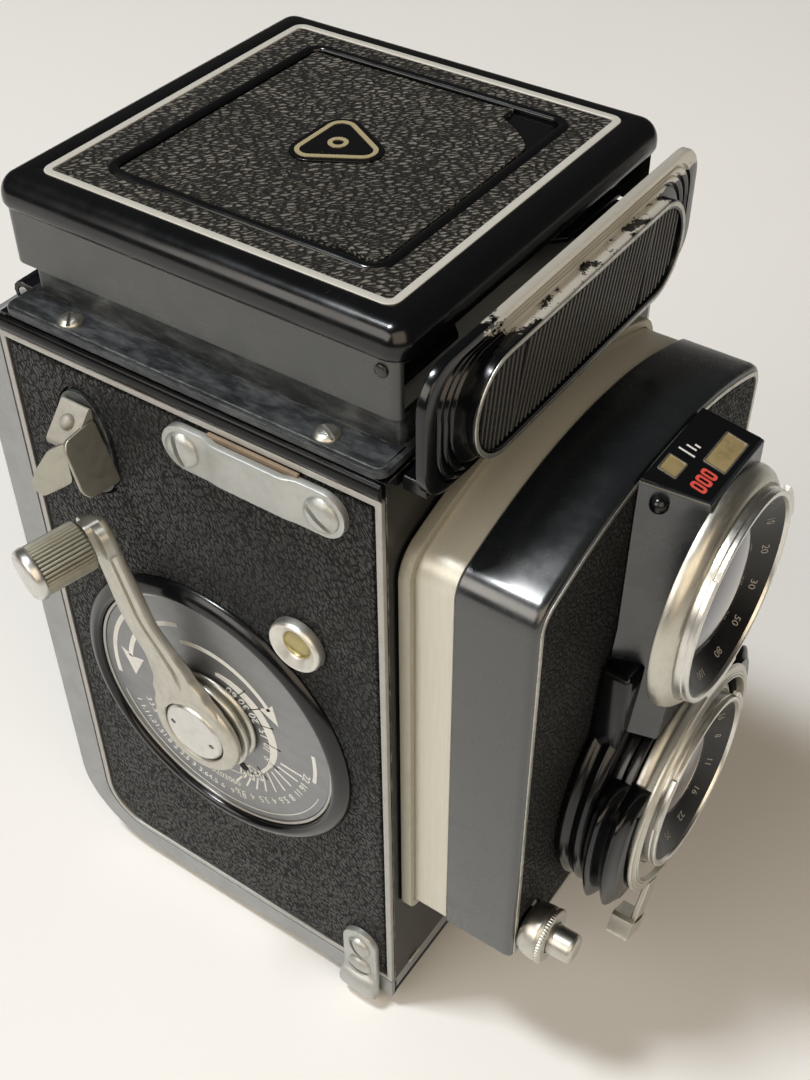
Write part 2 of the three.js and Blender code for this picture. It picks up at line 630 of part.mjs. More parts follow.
function buildFrontStandard() {
  const standard = assembly();
  part(standard, "front_panel", frontPanel(), FINISH.enamel);
  part(standard, "front_skirt", frontSkirt(), FINISH.cream);
  part(standard, "shutter_housing", shutterHousing(), FINISH.satinBlack);
  part(standard, "viewing_lens_barrel", lensBarrel(VIEWING, -44, -66.8, VIEWING_Z), FINISH.nickel);
  part(standard, "viewing_lens_glass", lensGlass(VIEWING.bore - 0.3, -69, -60, VIEWING_Z), FINISH.glass);
  part(standard, "taking_lens_barrel", lensBarrel(TAKING, -42, -70.2, TAKING_Z), FINISH.nickel);
  part(standard, "taking_lens_glass", lensGlass(TAKING.bore - 0.3, -68.5, -58, TAKING_Z), FINISH.glass);
  part(assembly(), "shutter_speed_lever", settingLever([-66.6, -65.3], Math.PI), FINISH.enamel);
  part(assembly(), "aperture_lever", settingLever([-68.3, -67], 0), FINISH.enamel);
  part(assembly(), "release_collar", releaseCollar(), FINISH.nickel);
  part(assembly(), "release_button", releaseButton(), FINISH.nickel);
  part(assembly(), "focus_lever", focusLever(), FINISH.nickel);
}

// ---- back door ----
function doorOutline(inset) {
  const radius = CORNER_RADIUS + 6.25 - inset;
  return sideOutline(SHELL_FRONT - 10, DOOR_REAR - inset, DOOR_BASE + inset, 140, radius);
}

function backDoor() {
  const top = 123.3;
  const around = slab([-HALF_WIDTH, HALF_WIDTH], [SHELL_FRONT, 40], [0, top]);
  const block = common(plate(doorOutline(0), "x", -HALF_WIDTH, HALF_WIDTH), around);
  const shellShape = sideOutline(-80, SHELL_REAR + DOOR_GAP, SHELL_BOTTOM - DOOR_GAP, 150, CORNER_RADIUS);
  const shellSpace = plate(shellShape, "x", -50, 50);
  const tray = plate(doorOutline(1.5), "x", -HALF_WIDTH + 1.5, HALF_WIDTH - 1.5);
  const trayLimit = slab([-50, 50], [SHELL_FRONT + 1.5, 60], [-10, top - 1.5]);
  const hollow = common(tray, trayLimit);
  const knuckle = bar(DOOR_HINGE.radius, "x", -10, 10, [DOOR_HINGE.y, DOOR_HINGE.z]);
  const leaf = slab([-10, 10], [DOOR_HINGE.y - 0.2, DOOR_HINGE.y + 1.8], [top - 1, DOOR_HINGE.z]);
  const pinHole = bar(DOOR_HINGE.pin + 0.1, "x", -31, 31, [DOOR_HINGE.y, DOOR_HINGE.z]);
  const footPlaces = [[-30, 26], [30, 26], [-30, -31], [30, -31]];
  const feet = footPlaces.map(([x, y]) => bar(3, "z", 0, DOOR_BASE + 0.5, [x, y]));
  const socketHole = bar(8.3, "z", -1, 10, [0, 0], MEDIUM);
  const shaped = cut(block, shellSpace, hollow);
  return cut(join(shaped, knuckle, leaf, ...feet), pinHole, socketHole);
}

function pressurePlate() {
  const face = slab([-31, 31], [FILM_Y + 0.25, FILM_Y + 1.75], [22, 84]);
  const postPlaces = [[-20, 38], [20, 38], [-20, 68], [20, 68]];
  const posts = postPlaces.map(([x, z]) => bar(2.5, "y", FILM_Y + 1.5, DOOR_REAR - 1.75, [x, z]));
  return join(face, ...posts);
}

function tripodBush() {
  const profile = [[0, 5.5], [3.2, 5.5], [3.2, 0], [8, 0], [8, 4.8], [10.5, 4.8], [10.5, 6.3], [0, 6.3]];
  return turned(profile, "z", [0, 0]);
}

function latchRing() {
  const ring = cut(bar(13, "z", 1, 2.7, [0, 0], FINE), bar(8.4, "z", 0, 4, [0, 0], MEDIUM));
  const lugs = [-1, 1].map((side) => slab([side * 14.5 - 2, side * 14.5 + 2], [-2, 2], [1, 2.7]));
  return join(ring, ...lugs);
}

function buildBackDoor() {
  const door = assembly();
  part(door, "back_door", backDoor(), FINISH.satinBlack);
  part(door, "pressure_plate", pressurePlate(), FINISH.steel);
  part(door, "tripod_bush", tripodBush(), FINISH.steel);
  part(assembly(), "latch_ring", latchRing(), FINISH.nickel);
}

// ---- folding hood ----
function hoodLid() {
  const { half, rim, front, rear, top, rimHeight, skirtBottom } = HOOD;
  const bevel = 2;
  const rimBlock = plate(roundedBox(-rim, rim, front, rear, 3), "z", top - rimHeight, top - bevel);
  const crownShape = roundedBox(-rim + bevel, rim - bevel, front + bevel, rear - bevel, 1.5);
  const crown = plate(crownShape, "z", top - rimHeight, top);
  const skirt = plate(roundedBox(-half, half, front + 0.75, rear - 0.75, 2), "z", skirtBottom, top - 3);
  const inside = slab([-half + 1, half - 1], [front - 5, rear - 1.75], [skirtBottom - 5, top - rimHeight]);
  const dome = slab([-half + 1, half - 1], [front + 3.5, rear - 1.75], [skirtBottom - 5, top - 2]);
  const doorSpace = slab([-23.2, 23.2], [-27.4, 17.6], [top - 4, top + 1]);
  return cut(join(rimBlock, crown, skirt), inside, dome, doorSpace);
}

function finderDoor() {
  const { top } = HOOD;
  const sheet = slab([-22.9, 22.9], [-27.1, 17.3], [top - 1.5, top - 0.5]);
  const badge = bar(5, "z", top - 0.7, top - 0.1, [0, -5], 3);
  return join(sheet, badge);
}

// A side flap lies under the lid with its ends mitred so that it clears its neighbours as all rise together.
function sideFlap(side) {
  const { hinge, rearHinge, z, thickness, reach, front } = FLAP;
  const shoulder = 16;
  const points = [
    [hinge, front], [hinge - shoulder, front], [hinge - reach, front + reach - shoulder],
    [hinge - reach, rearHinge - reach - 0.6], [hinge, rearHinge - 0.6],
  ];
  const outline = polygon(points.map(([x, y]) => [side * x, y]));
  return plate(outline, "z", z - thickness / 2, z + thickness / 2);
}

function rearFlap() {
  const { hinge, rearHinge, z, thickness, rearReach } = FLAP;
  const wide = hinge - 0.6;
  const narrow = wide - rearReach;
  const tip = rearHinge - rearReach;
  const outline = polygon([[-wide, rearHinge], [-narrow, tip], [narrow, tip], [wide, rearHinge]]);
  return plate(outline, "z", z - thickness / 2, z + thickness / 2);
}

function magnifier() {
  const ring = turned([[9.5, 139.5], [11.5, 139.5], [11.5, 143.5], [9.5, 143.5], [9.5, 139.5]], "z", [0, 2]);
  const lens = turned([[0, 140.6], [6, 140.8], [9.8, 141.4], [9.8, 141.9], [0, 143]], "z", [0, 2]);
  const tab = slab([-6, 6], [12, 20], [143, 144]);
  const strap = slab([-6, 6], [12, 13.4], [140.5, 144]);
  return join(ring, lens, tab, strap);
}

function buildHood() {
  const lid = assembly();
  part(lid, "hood_lid", hoodLid(), FINISH.enamel);
  part(lid, "sports_finder_door", finderDoor(), FINISH.leather);
  part(lid, "magnifier", magnifier(), FINISH.satinBlack);
  part(assembly(), "crank_side_flap", sideFlap(-1), FINISH.satinBlack);
  part(assembly(), "knob_side_flap", sideFlap(1), FINISH.satinBlack);
  part(assembly(), "rear_flap", rearFlap(), FINISH.satinBlack);
}

buildFixedParts();
buildCrank(buildTransport());
buildFrontStandard();
buildBackDoor();
buildHood();

export default camera;
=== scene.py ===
# The looks of a twin-lens reflex camera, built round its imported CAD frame.
# Shapes are drawn in millimetres in the frame's own axes and turned into metres as each mesh is made:
# -Y out of the lenses, -X on the crank side, +Z up.
import math

import bmesh
import bpy
from mathutils import Matrix, Vector
from mathutils.geometry import tessellate_polygon
from mathutils.noise import noise as perlin


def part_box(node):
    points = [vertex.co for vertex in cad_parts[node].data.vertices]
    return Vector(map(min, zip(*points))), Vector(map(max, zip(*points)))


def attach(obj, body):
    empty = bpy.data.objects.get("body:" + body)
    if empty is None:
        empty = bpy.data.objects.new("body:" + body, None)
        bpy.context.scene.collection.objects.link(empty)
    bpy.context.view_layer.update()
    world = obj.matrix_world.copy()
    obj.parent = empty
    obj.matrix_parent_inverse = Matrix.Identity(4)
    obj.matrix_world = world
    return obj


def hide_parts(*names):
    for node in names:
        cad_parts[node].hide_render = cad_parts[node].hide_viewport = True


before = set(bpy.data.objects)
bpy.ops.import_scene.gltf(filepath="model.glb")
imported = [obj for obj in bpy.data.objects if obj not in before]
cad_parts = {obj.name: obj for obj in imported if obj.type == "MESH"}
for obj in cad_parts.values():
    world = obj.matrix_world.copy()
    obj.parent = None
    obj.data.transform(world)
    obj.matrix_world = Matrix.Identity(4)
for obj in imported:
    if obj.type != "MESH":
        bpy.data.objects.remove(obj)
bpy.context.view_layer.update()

MM = 0.001
QUARTER = math.pi / 2
TURN = 2 * math.pi
ARC_STEPS = 8
SIDES = 96  # round pieces
CREASE = 32  # degrees between faces from which an edge stays sharp
AXIS = 0.01  # radius of a turned profile where it meets its axis


# ---------------------------------------------------------------- shapes
def edges(node):
    """The limits of a CAD node in millimetres: x0, x1, y0, y1, z0, z1."""
    low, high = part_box(node)
    return [value / MM for pair in zip(low, high) for value in pair]


def middle(node):
    x0, x1, y0, y1, z0, z1 = edges(node)
    return (x0 + x1) / 2, (y0 + y1) / 2, (z0 + z1) / 2


def arc(centre, radius, start, end, steps=ARC_STEPS):
    turn = [start + (end - start) * i / steps for i in range(steps + 1)]
    return [(centre[0] + radius * math.cos(a), centre[1] + radius * math.sin(a)) for a in turn]


def circle(centre=(0, 0), sides=SIDES):
    """An outline that takes a radius, for turned shapes."""
    def outline(radius):
        return arc(centre, max(radius, 0.01), 0, TURN, sides)[:-1]
    return outline


def knurled(centre, teeth, depth, points=6):
    """A round outline whose edge is cut into fine ribs."""
    sides = teeth * points

    def outline(radius):
        made = []
        for i in range(sides):
            angle = TURN * i / sides
            rib = abs(math.sin(teeth * angle / 2)) ** 0.7
            reach = max(radius - depth * (1 - rib), 0.01) if radius > depth * 4 else radius
            made.append((centre[0] + reach * math.cos(angle), centre[1] + reach * math.sin(angle)))
        return made
    return outline


def rounded(u0, u1, v0, v1, corner, steps=ARC_STEPS):
    """A rectangle with round corners; the outline takes an inset."""
    def outline(inset=0.0):
        r = max(corner - inset, 0.02)
        a, b, c, d = u0 + inset, u1 - inset, v0 + inset, v1 - inset
        centres = [(b - r, c + r), (b - r, d - r), (a + r, d - r), (a + r, c + r)]
        made = []
        for number, centre in enumerate(centres):
            made += arc(centre, r, QUARTER * (number - 1), QUARTER * number, steps)
        return made
    return outline


def crowned(half, bottom, apex, crown, corner, foot=1.5, steps=ARC_STEPS):
    """Front view of the lens panel: upright sides and a low crowned top."""
    def outline(inset=0.0):
        side, low = half - inset, bottom + inset
        curve, turn_radius, toe = crown - inset, max(corner - inset, 0.05), max(foot - inset, 0.05)
        centre_z = apex - crown
        corner_x = side - turn_radius
        corner_z = centre_z + math.sqrt((curve - turn_radius) ** 2 - corner_x ** 2)
        lean = math.atan2(corner_z - centre_z, corner_x)
        made = arc((side - toe, low + toe), toe, -QUARTER, 0, steps)
        made += arc((corner_x, corner_z), turn_radius, 0, lean, steps)
        made += arc((0, centre_z), curve, lean, math.pi - lean, 4 * steps)[1:-1]
        made += arc((-corner_x, corner_z), turn_radius, math.pi - lean, math.pi, steps)
        made += arc((-side + toe, low + toe), toe, math.pi, math.pi + QUARTER, steps)
        return made
    return outline


def side_view(front, rear, bottom, top, corner, steps=16):
    """Side view of the casting: three square corners and a round one at the bottom rear."""
    def outline(inset=0.0):
        r = max(corner - inset, 0.05)
        front_at, rear_at, low, high = front + inset, rear - inset, bottom + inset, top - inset
        small = 0.25
        made = arc((front_at + small, low + small), small, math.pi, math.pi + QUARTER, 3)
        made += arc((rear_at - r, low + r), r, -QUARTER, 0, steps)
        made += arc((rear_at - small, high - small), small, 0, QUARTER, 3)
        made += arc((front_at + small, high - small), small, QUARTER, math.pi, 3)
        return made
    return outline


def softened(points, radius=0.2, closed=False, steps=3):
    """Rounds the corners of a profile; a point may carry its own corner radius as a third value."""
    made = []
    count = len(points)
    for i, point in enumerate(points):
        here = Vector(point[:2])
        own = point[2] if len(point) > 2 else radius
        if own == 0 or (not closed and i in (0, count - 1)):
            made.append(tuple(here))
            continue
        before = Vector(points[i - 1][:2]) - here
        after = Vector(points[(i + 1) % count][:2]) - here
        reach = min(own, 0.48 * before.length, 0.48 * after.length)
        start, end = here + before.normalized() * reach, here + after.normalized() * reach
        for step in range(steps + 1):
            t = step / steps
            made.append(tuple(start * (1 - t) ** 2 + here * 2 * t * (1 - t) + end * t * t))
    return made


def softened_in_space(points, radius, steps=3):
    """Rounds the corners of a closed outline drawn in space."""
    made = []
    for i, point in enumerate(points):
        here = Vector(point)
        before, after = Vector(points[i - 1]) - here, Vector(points[(i + 1) % len(points)]) - here
        reach = min(radius, 0.4 * before.length, 0.4 * after.length)
        start, end = here + before.normalized() * reach, here + after.normalized() * reach
        for step in range(steps + 1):
            t = step / steps
            made.append(start * (1 - t) ** 2 + here * 2 * t * (1 - t) + end * t * t)
    return made


def place(plane, u, v, height):
    return {"x": (height, u, v), "y": (u, height, v), "z": (u, v, height)}[plane]


def finished(name, bm, sharp=CREASE):
    """Turns a mesh drawn in millimetres into an object in metres with smooth shading."""
    bmesh.ops.remove_doubles(bm, verts=bm.verts, dist=1e-4)
    bmesh.ops.recalc_face_normals(bm, faces=bm.faces)
    bm.transform(Matrix.Scale(MM, 4))
    mesh = bpy.data.meshes.new(name)
    bm.to_mesh(mesh)
    bm.free()
    mesh.shade_smooth()
    mesh.set_sharp_from_angle(angle=math.radians(sharp))
    piece = bpy.data.objects.new(name, mesh)
    bpy.context.scene.collection.objects.link(piece)
    return piece


def skinned(name, loops, closed=False, sharp=CREASE):
    """A solid through loops of points, each loop the same length."""
    bm = bmesh.new()
    rings = [[bm.verts.new(point) for point in loop] for loop in loops]
    followers = rings[1:] + rings[:1] if closed else rings[1:]
    for one, other in zip(rings, followers):
        for i in range(len(one)):
            j = (i + 1) % len(one)
            bm.faces.new((one[i], one[j], other[j], other[i]))
    if not closed:
        bm.faces.new(rings[0])
        bm.faces.new(list(reversed(rings[-1])))
    return finished(name, bm, sharp)


def loft(name, outline, profile, plane, closed=False, sharp=CREASE):
    """A solid whose outline takes the first value of each profile point at the height of its second."""
    loops = [[place(plane, u, v, height) for u, v in outline(size)] for size, height in profile]
    return skinned(name, loops, closed, sharp)


def turned(name, profile, plane, centre=(0, 0), closed=False, sides=SIDES, radius=0.15):
    return loft(name, circle(centre, sides), softened(profile, radius, closed), plane, closed)


def stacked(name, levels, plane, closed=False, sharp=CREASE):
    """A solid through levels, each an outline, its inset and its height."""
    loops = [[place(plane, u, v, height) for u, v in outline(inset)] for outline, inset, height in levels]
    return skinned(name, loops, closed, sharp)


def rail(name, outline, insets, levels, plane, radius):
    """A closed band of rectangular section, with soft corners, along an outline."""
    section = [(insets[0], levels[0]), (insets[0], levels[1]), (insets[1], levels[1]), (insets[1], levels[0])]
    return loft(name, outline, softened(section, radius, True), plane, closed=True)


def rod(name, radius, start, end, plane, centre=(0, 0), sides=SIDES):
    """A plain cylinder at right angles to the plane."""
    profile = [(AXIS, start), (radius, start), (radius, end), (AXIS, end)]
    return turned(name, profile, plane, centre, sides=sides)


def prism(name, outline, plane, start, end, holes=(), edge=0.0):
    """A flat outline, with or without holes, given thickness and soft edges."""
    rings = [list(outline), *[list(hole) for hole in holes]]
    flat = [point for ring in rings for point in ring]
    bm = bmesh.new()
    levels = [[bm.verts.new(place(plane, u, v, height)) for u, v in flat] for height in (start, end)]
    triangles = tessellate_polygon([[Vector((u, v, 0)) for u, v in ring] for ring in rings])
    for level in levels:
        for corners in triangles:
            bm.faces.new([level[c] for c in corners])
    first = 0
    for ring in rings:
        for i in range(len(ring)):
            a, b = first + i, first + (i + 1) % len(ring)
            bm.faces.new((levels[0][a], levels[0][b], levels[1][b], levels[1][a]))
        first += len(ring)
    bmesh.ops.dissolve_limit(bm, angle_limit=0.005, verts=bm.verts, edges=bm.edges)
    piece = finished(name, bm)
    return bevelled(piece, edge) if edge else piece


def bevelled(piece, width, segments=3, angle=34):
    modifier = piece.modifiers.new("soft_edges", "BEVEL")
    modifier.width = width * MM
    modifier.segments = segments
    modifier.limit_method = "ANGLE"
    modifier.angle_limit = math.radians(angle)
    modifier.harden_normals = True
    return piece


def settled(piece):
    """Applies the piece's modifiers to its mesh."""
    depsgraph = bpy.context.evaluated_depsgraph_get()
    depsgraph.update()
    mesh = bpy.data.meshes.new_from_object(piece.evaluated_get(depsgraph))
    piece.modifiers.clear()
    piece.data = mesh
    return piece


def carved(piece, *tools):
    """Cuts tools out of a piece and removes them."""
    for tool in tools:
        modifier = piece.modifiers.new("cut", "BOOLEAN")
        modifier.operation = "DIFFERENCE"
        modifier.solver = "EXACT"
        modifier.object = tool
    settled(piece)
    for tool in tools:
        bpy.data.objects.remove(tool)
    piece.data.shade_smooth()
    piece.data.set_sharp_from_angle(angle=math.radians(CREASE))
    return piece


def joined(name, pieces):
    """One mesh from several, with their modifiers applied."""
    bm = bmesh.new()
    for piece in pieces:
        settled(piece)
        piece.data.transform(piece.matrix_world)
        bm.from_mesh(piece.data)
        bpy.data.objects.remove(piece)
    mesh = bpy.data.meshes.new(name)
    bm.to_mesh(mesh)
    bm.free()
    made = bpy.data.objects.new(name, mesh)
    bpy.context.scene.collection.objects.link(made)
    return made


def moved(piece, matrix):
    """Moves a piece's mesh by a matrix given in millimetres."""
    shifted = matrix.copy()
    shifted.translation *= MM
    piece.data.transform(shifted)
    return piece


def about(point, axis, angle):
    centre = Vector(point)
    return Matrix.Translation(centre) @ Matrix.Rotation(angle, 4, axis) @ Matrix.Translation(-centre)


def box(name, x, y, z, edge=0.2):
    return prism(name, [(x[0], y[0]), (x[1], y[0]), (x[1], y[1]), (x[0], y[1])], "z", z[0], z[1], edge=edge)


def ring_sector(inner, outer, start, end, steps=24):
    """A flat arc-shaped band about the origin."""
    return arc((0, 0), outer, start, end, steps) + arc((0, 0), inner, end, start, steps)


def stroke(points, width):
    """The outline of a line of even width through points."""
    left, right = [], []
    for i, point in enumerate(points):
        before = Vector(points[max(i - 1, 0)])
        after = Vector(points[min(i + 1, len(points) - 1)])
        along = (after - before).normalized()
        across = Vector((-along.y, along.x)) * width / 2
        left.append(tuple(Vector(point) + across))
        right.append(tuple(Vector(point) - across))
    return left + right[::-1]


def numeral(text, size, depth=0.03):
    """A generic number as a thin solid in the plane of x and y, centred on the origin."""
    curve = bpy.data.curves.new("numeral", "FONT")
    curve.body = text
    curve.size = size * MM
    curve.extrude = depth * MM / 2
    curve.align_x = "CENTER"
    curve.align_y = "CENTER"
    curve.resolution_u = 3
    source = bpy.data.objects.new("numeral", curve)
    bpy.context.scene.collection.objects.link(source)
    depsgraph = bpy.context.evaluated_depsgraph_get()
    mesh = bpy.data.meshes.new_from_object(source.evaluated_get(depsgraph))
    bpy.data.objects.remove(source)
    piece = bpy.data.objects.new("numeral", mesh)
    bpy.context.scene.collection.objects.link(piece)
    return piece


# ---------------------------------------------------------------- materials
SILVER = (0.68, 0.66, 0.6)
DARK_STAIN = (0.03, 0.03, 0.03)
TARNISH = (0.2, 0.17, 0.12)


class Finish:
    """One procedural material. Texture sizes are in millimetres."""

    def __init__(self, name, color, roughness, metallic=0.0, coat=0.0, coat_roughness=0.08, ior=1.5):
        self.material = bpy.data.materials.new(name)
        self.material.use_nodes = True
        tree = self.material.node_tree
        self.tree = tree
        self.shader = tree.nodes["Principled BSDF"]
        self.set("Base Color", (*color, 1))
        self.set("Roughness", roughness)
        self.set("Metallic", metallic)
        self.set("Coat Weight", coat)
        self.set("Coat Roughness", coat_roughness)
        self.set("IOR", ior)
        place_node = tree.nodes.new("ShaderNodeTexCoord")
        self.object_place = place_node.outputs["Object"]
        self.bumps = None

    def set(self, socket, value):
        self.shader.inputs[socket].default_value = value

    def link(self, source, socket):
        self.tree.links.new(source, self.shader.inputs[socket])

    def node(self, kind, values, **options):
        made = self.tree.nodes.new(kind)
        for key, value in options.items():
            setattr(made, key, value)
        for key, value in values.items():
            if isinstance(value, bpy.types.NodeSocket):
                self.tree.links.new(value, made.inputs[key])
            else:
                made.inputs[key].default_value = value
        return made

    def stretched(self, size, turn=(0, 0, 0)):
        """Object coordinates counted in features of the given size along each axis."""
        turned_place = self.node("ShaderNodeMapping", {"Vector": self.object_place, "Rotation": turn})
        scale = tuple(1 / (side * MM) for side in size)
        return self.node("ShaderNodeMapping", {"Vector": turned_place.outputs[0], "Scale": scale}).outputs[0]

    def grain(self, size, detail=3.0, roughness=0.6, turn=(0, 0, 0)):
        values = {"Vector": self.stretched(size, turn), "Scale": 1.0,
                  "Detail": detail, "Roughness": roughness}
        return self.node("ShaderNodeTexNoise", values).outputs["Fac"]

    def cracks(self, size, turn, wobble):
        """Distance to the nearest border of irregular cells whose places a colour texture shifts."""
        shift = self.node("ShaderNodeVectorMath", {0: wobble, 1: (0.8, 0.8, 0.8)}, operation="MULTIPLY")
        place_at = self.node("ShaderNodeVectorMath", {0: self.stretched(size, turn), 1: shift.outputs[0]})
        values = {"Vector": place_at.outputs[0], "Scale": 1.0}
        return self.node("ShaderNodeTexVoronoi", values, feature="DISTANCE_TO_EDGE").outputs["Distance"]

    def ramp(self, value, low, high, start=0.0, end=1.0):
        """Maps low..high of a value to start..end, smoothly clamped."""
        values = {"Value": value, "From Min": low, "From Max": high, "To Min": start, "To Max": end}
        return self.node("ShaderNodeMapRange", values, interpolation_type="SMOOTHSTEP").outputs[0]

    def maths(self, operation, one, other=0.0):
        return self.node("ShaderNodeMath", {0: one, 1: other}, operation=operation).outputs[0]

    def blend(self, factor, one, other):
        made = self.tree.nodes.new("ShaderNodeMix")
        made.data_type = "RGBA"
        for number, value in ((0, factor), (6, one), (7, other)):
            if isinstance(value, bpy.types.NodeSocket):
                self.tree.links.new(value, made.inputs[number])
            elif number == 0:
                made.inputs[0].default_value = value
            else:
                made.inputs[number].default_value = (*value, 1)
        return made.outputs[2]

    def bump(self, height, depth, strength=1.0):
        """Adds a relief of that depth in millimetres on top of the earlier ones."""
        values = {"Height": height, "Distance": depth * MM, "Strength": strength}
        if self.bumps:
            values["Normal"] = self.bumps
        self.bumps = self.node("ShaderNodeBump", values).outputs[0]
        self.link(self.bumps, "Normal")

    def rubbed_edges(self, reach, low=0.02, high=0.12):
        """Where edges of the piece are worn: near a sharp turn of the surface and broken up by grain."""
        rounded_normal = self.node("ShaderNodeBevel", {"Radius": reach * MM}, samples=4).outputs[0]
        true_normal = self.node("ShaderNodeNewGeometry", {}).outputs["Normal"]
        normals = {0: rounded_normal, 1: true_normal}
        facing = self.node("ShaderNodeVectorMath", normals, operation="DOT_PRODUCT")
        turn_amount = self.maths("SUBTRACT", 1.0, facing.outputs["Value"])
        broken = self.maths("MULTIPLY", turn_amount, self.ramp(self.grain((1.7, 1.7, 1.7), 5), 0.35, 0.65))
        return self.ramp(broken, low, high)


def leatherette(name, dark, light, size, turn, depth,
                shine=(0.4, 0.85), lightness=(0.45, 1.0), spread=(0.32, 1.35)):
    """Grained leather cloth: long pebbles parted by cracks, the pebble tops painted lighter and the cracks
    darker, partly as wear and partly as painted highlight and painted shade.
    """
    made = Finish(name, dark, 0.6, ior=1.4)
    wander = {"Vector": made.stretched((1.3, 1.3, 1.3)), "Scale": 1.0}
    crack = made.cracks(size, turn, made.node("ShaderNodeTexNoise", wander).outputs["Color"])
    fine = made.grain(tuple(side * 0.45 for side in size), 3, 0.6, turn)
    height = made.maths("ADD", made.ramp(crack, 0.0, spread[0]), made.maths("MULTIPLY", fine, 0.9))
    # Pebble tops lighter and cracks darker in colour: partly wear, partly a painted highlight on the tops and
    # painted shade in the cracks.
    worn_and_lit_tops = made.ramp(height, 0.5, spread[1])
    patches = made.ramp(made.grain((12, 12, 12), 4), 0.3, 0.7, *lightness)
    made.link(made.blend(made.maths("MULTIPLY", worn_and_lit_tops, patches), dark, light), "Base Color")
    made.link(made.ramp(height, 0.5, 1.4, shine[1], shine[0]), "Roughness")
    made.bump(height, depth)
    return made.material


def enamel(name, color, roughness, metal=SILVER, edge_reach=0.0, ior=1.5,
           dust=0.25, high=0.2, bare=None, film=0.0):
    """Black paint over metal, with dust, rubbed edges, a cloudy film, and bare metal between two heights."""
    made = Finish(name, color, roughness, ior=ior)
    cloud = made.grain((9, 9, 9), 5, 0.65)
    specks = made.ramp(made.grain((0.28, 0.28, 0.28), 2, 0.5), 0.72, 0.8)
    dusty = made.maths("MULTIPLY", specks, made.ramp(cloud, 0.35, 0.75, 0, dust))
    painted = made.blend(dusty, color, (0.36, 0.37, 0.37))
    rough = made.ramp(made.grain((5, 5, 5), 5, 0.6), 0.3, 0.75, roughness * 0.85, roughness * 1.3)
    if film:
        haze = made.ramp(made.grain((2.4, 8, 2.4), 7, 0.75), 0.38, 0.72, 0, film)
        painted = made.blend(haze, painted, (0.17, 0.19, 0.2))
        rough = made.maths("ADD", rough, made.maths("MULTIPLY", haze, 0.2))
    worn = made.rubbed_edges(edge_reach, high=high) if edge_reach else None
    if bare:
        axes = made.node("ShaderNodeSeparateXYZ", {"Vector": made.object_place}).outputs
        rising = made.ramp(axes["Z"], bare[0] * MM, bare[1] * MM, 0, 0.62)
        inward = made.ramp(axes["X"], -26 * MM, -12 * MM, -0.4, 0)
        ragged = made.maths("ADD", made.maths("ADD", rising, inward), made.grain((3.2, 3.2, 2.0), 7, 0.72))
        chips = made.ramp(ragged, 0.86, 0.885)
        worn = made.maths("MAXIMUM", worn, chips) if worn else chips
    if worn:
        made.link(made.blend(worn, painted, metal), "Base Color")
        made.link(made.maths("MULTIPLY", worn, 0.5), "Metallic")
        rough = made.maths("ADD", rough, made.maths("MULTIPLY", worn, 0.2))
    else:
        made.link(painted, "Base Color")
    made.link(rough, "Roughness")
    made.bump(made.grain((1.8, 1.8, 1.8), 4), 0.004)
    return made.material


def metal(name, color, roughness, streak=(1, 1, 1), tarnish=TARNISH, amount=0.18, metallic=1.0):
    """Plated or bare metal with drawn streaks, faint stains and pits."""
    made = Finish(name, color, roughness, metallic=metallic)
    streaks = made.grain(streak, 4, 0.65)
    stains = made.ramp(made.grain((3.5, 3.5, 3.5), 6, 0.7), 0.45, 0.85, 0, amount)
    shade = made.blend(made.ramp(streaks, 0.3, 0.7, 0, 0.14), color, tuple(c * 0.6 for c in color))
    made.link(made.blend(stains, shade, tarnish), "Base Color")
    spread = made.ramp(streaks, 0.25, 0.75, roughness * 0.88, roughness * 1.15)
    made.link(made.maths("ADD", spread, made.maths("MULTIPLY", stains, 0.25)), "Roughness")
    made.bump(streaks, 0.0022)
    made.bump(made.ramp(made.grain((0.6, 0.6, 0.6), 2), 0.7, 0.82), 0.005, 0.4)
    return made.material


def glass(name, color, roughness=0.02, film=(0.25, 0.2, 0.5)):
    """Dark coated lens glass with a faint cleaning haze."""
    made = Finish(name, color, roughness, coat=1.0, coat_roughness=0.02, ior=1.7)
    made.set("Specular Tint", (*film, 1))
    haze = made.ramp(made.grain((4, 4, 4), 5), 0.4, 0.8, roughness, 0.12)
    made.link(haze, "Roughness")
    tint = made.ramp(made.grain((6, 6, 6), 4), 0.3, 0.8)
    made.link(made.blend(tint, color, tuple(c * 2 for c in color)), "Base Color")
    return made.material
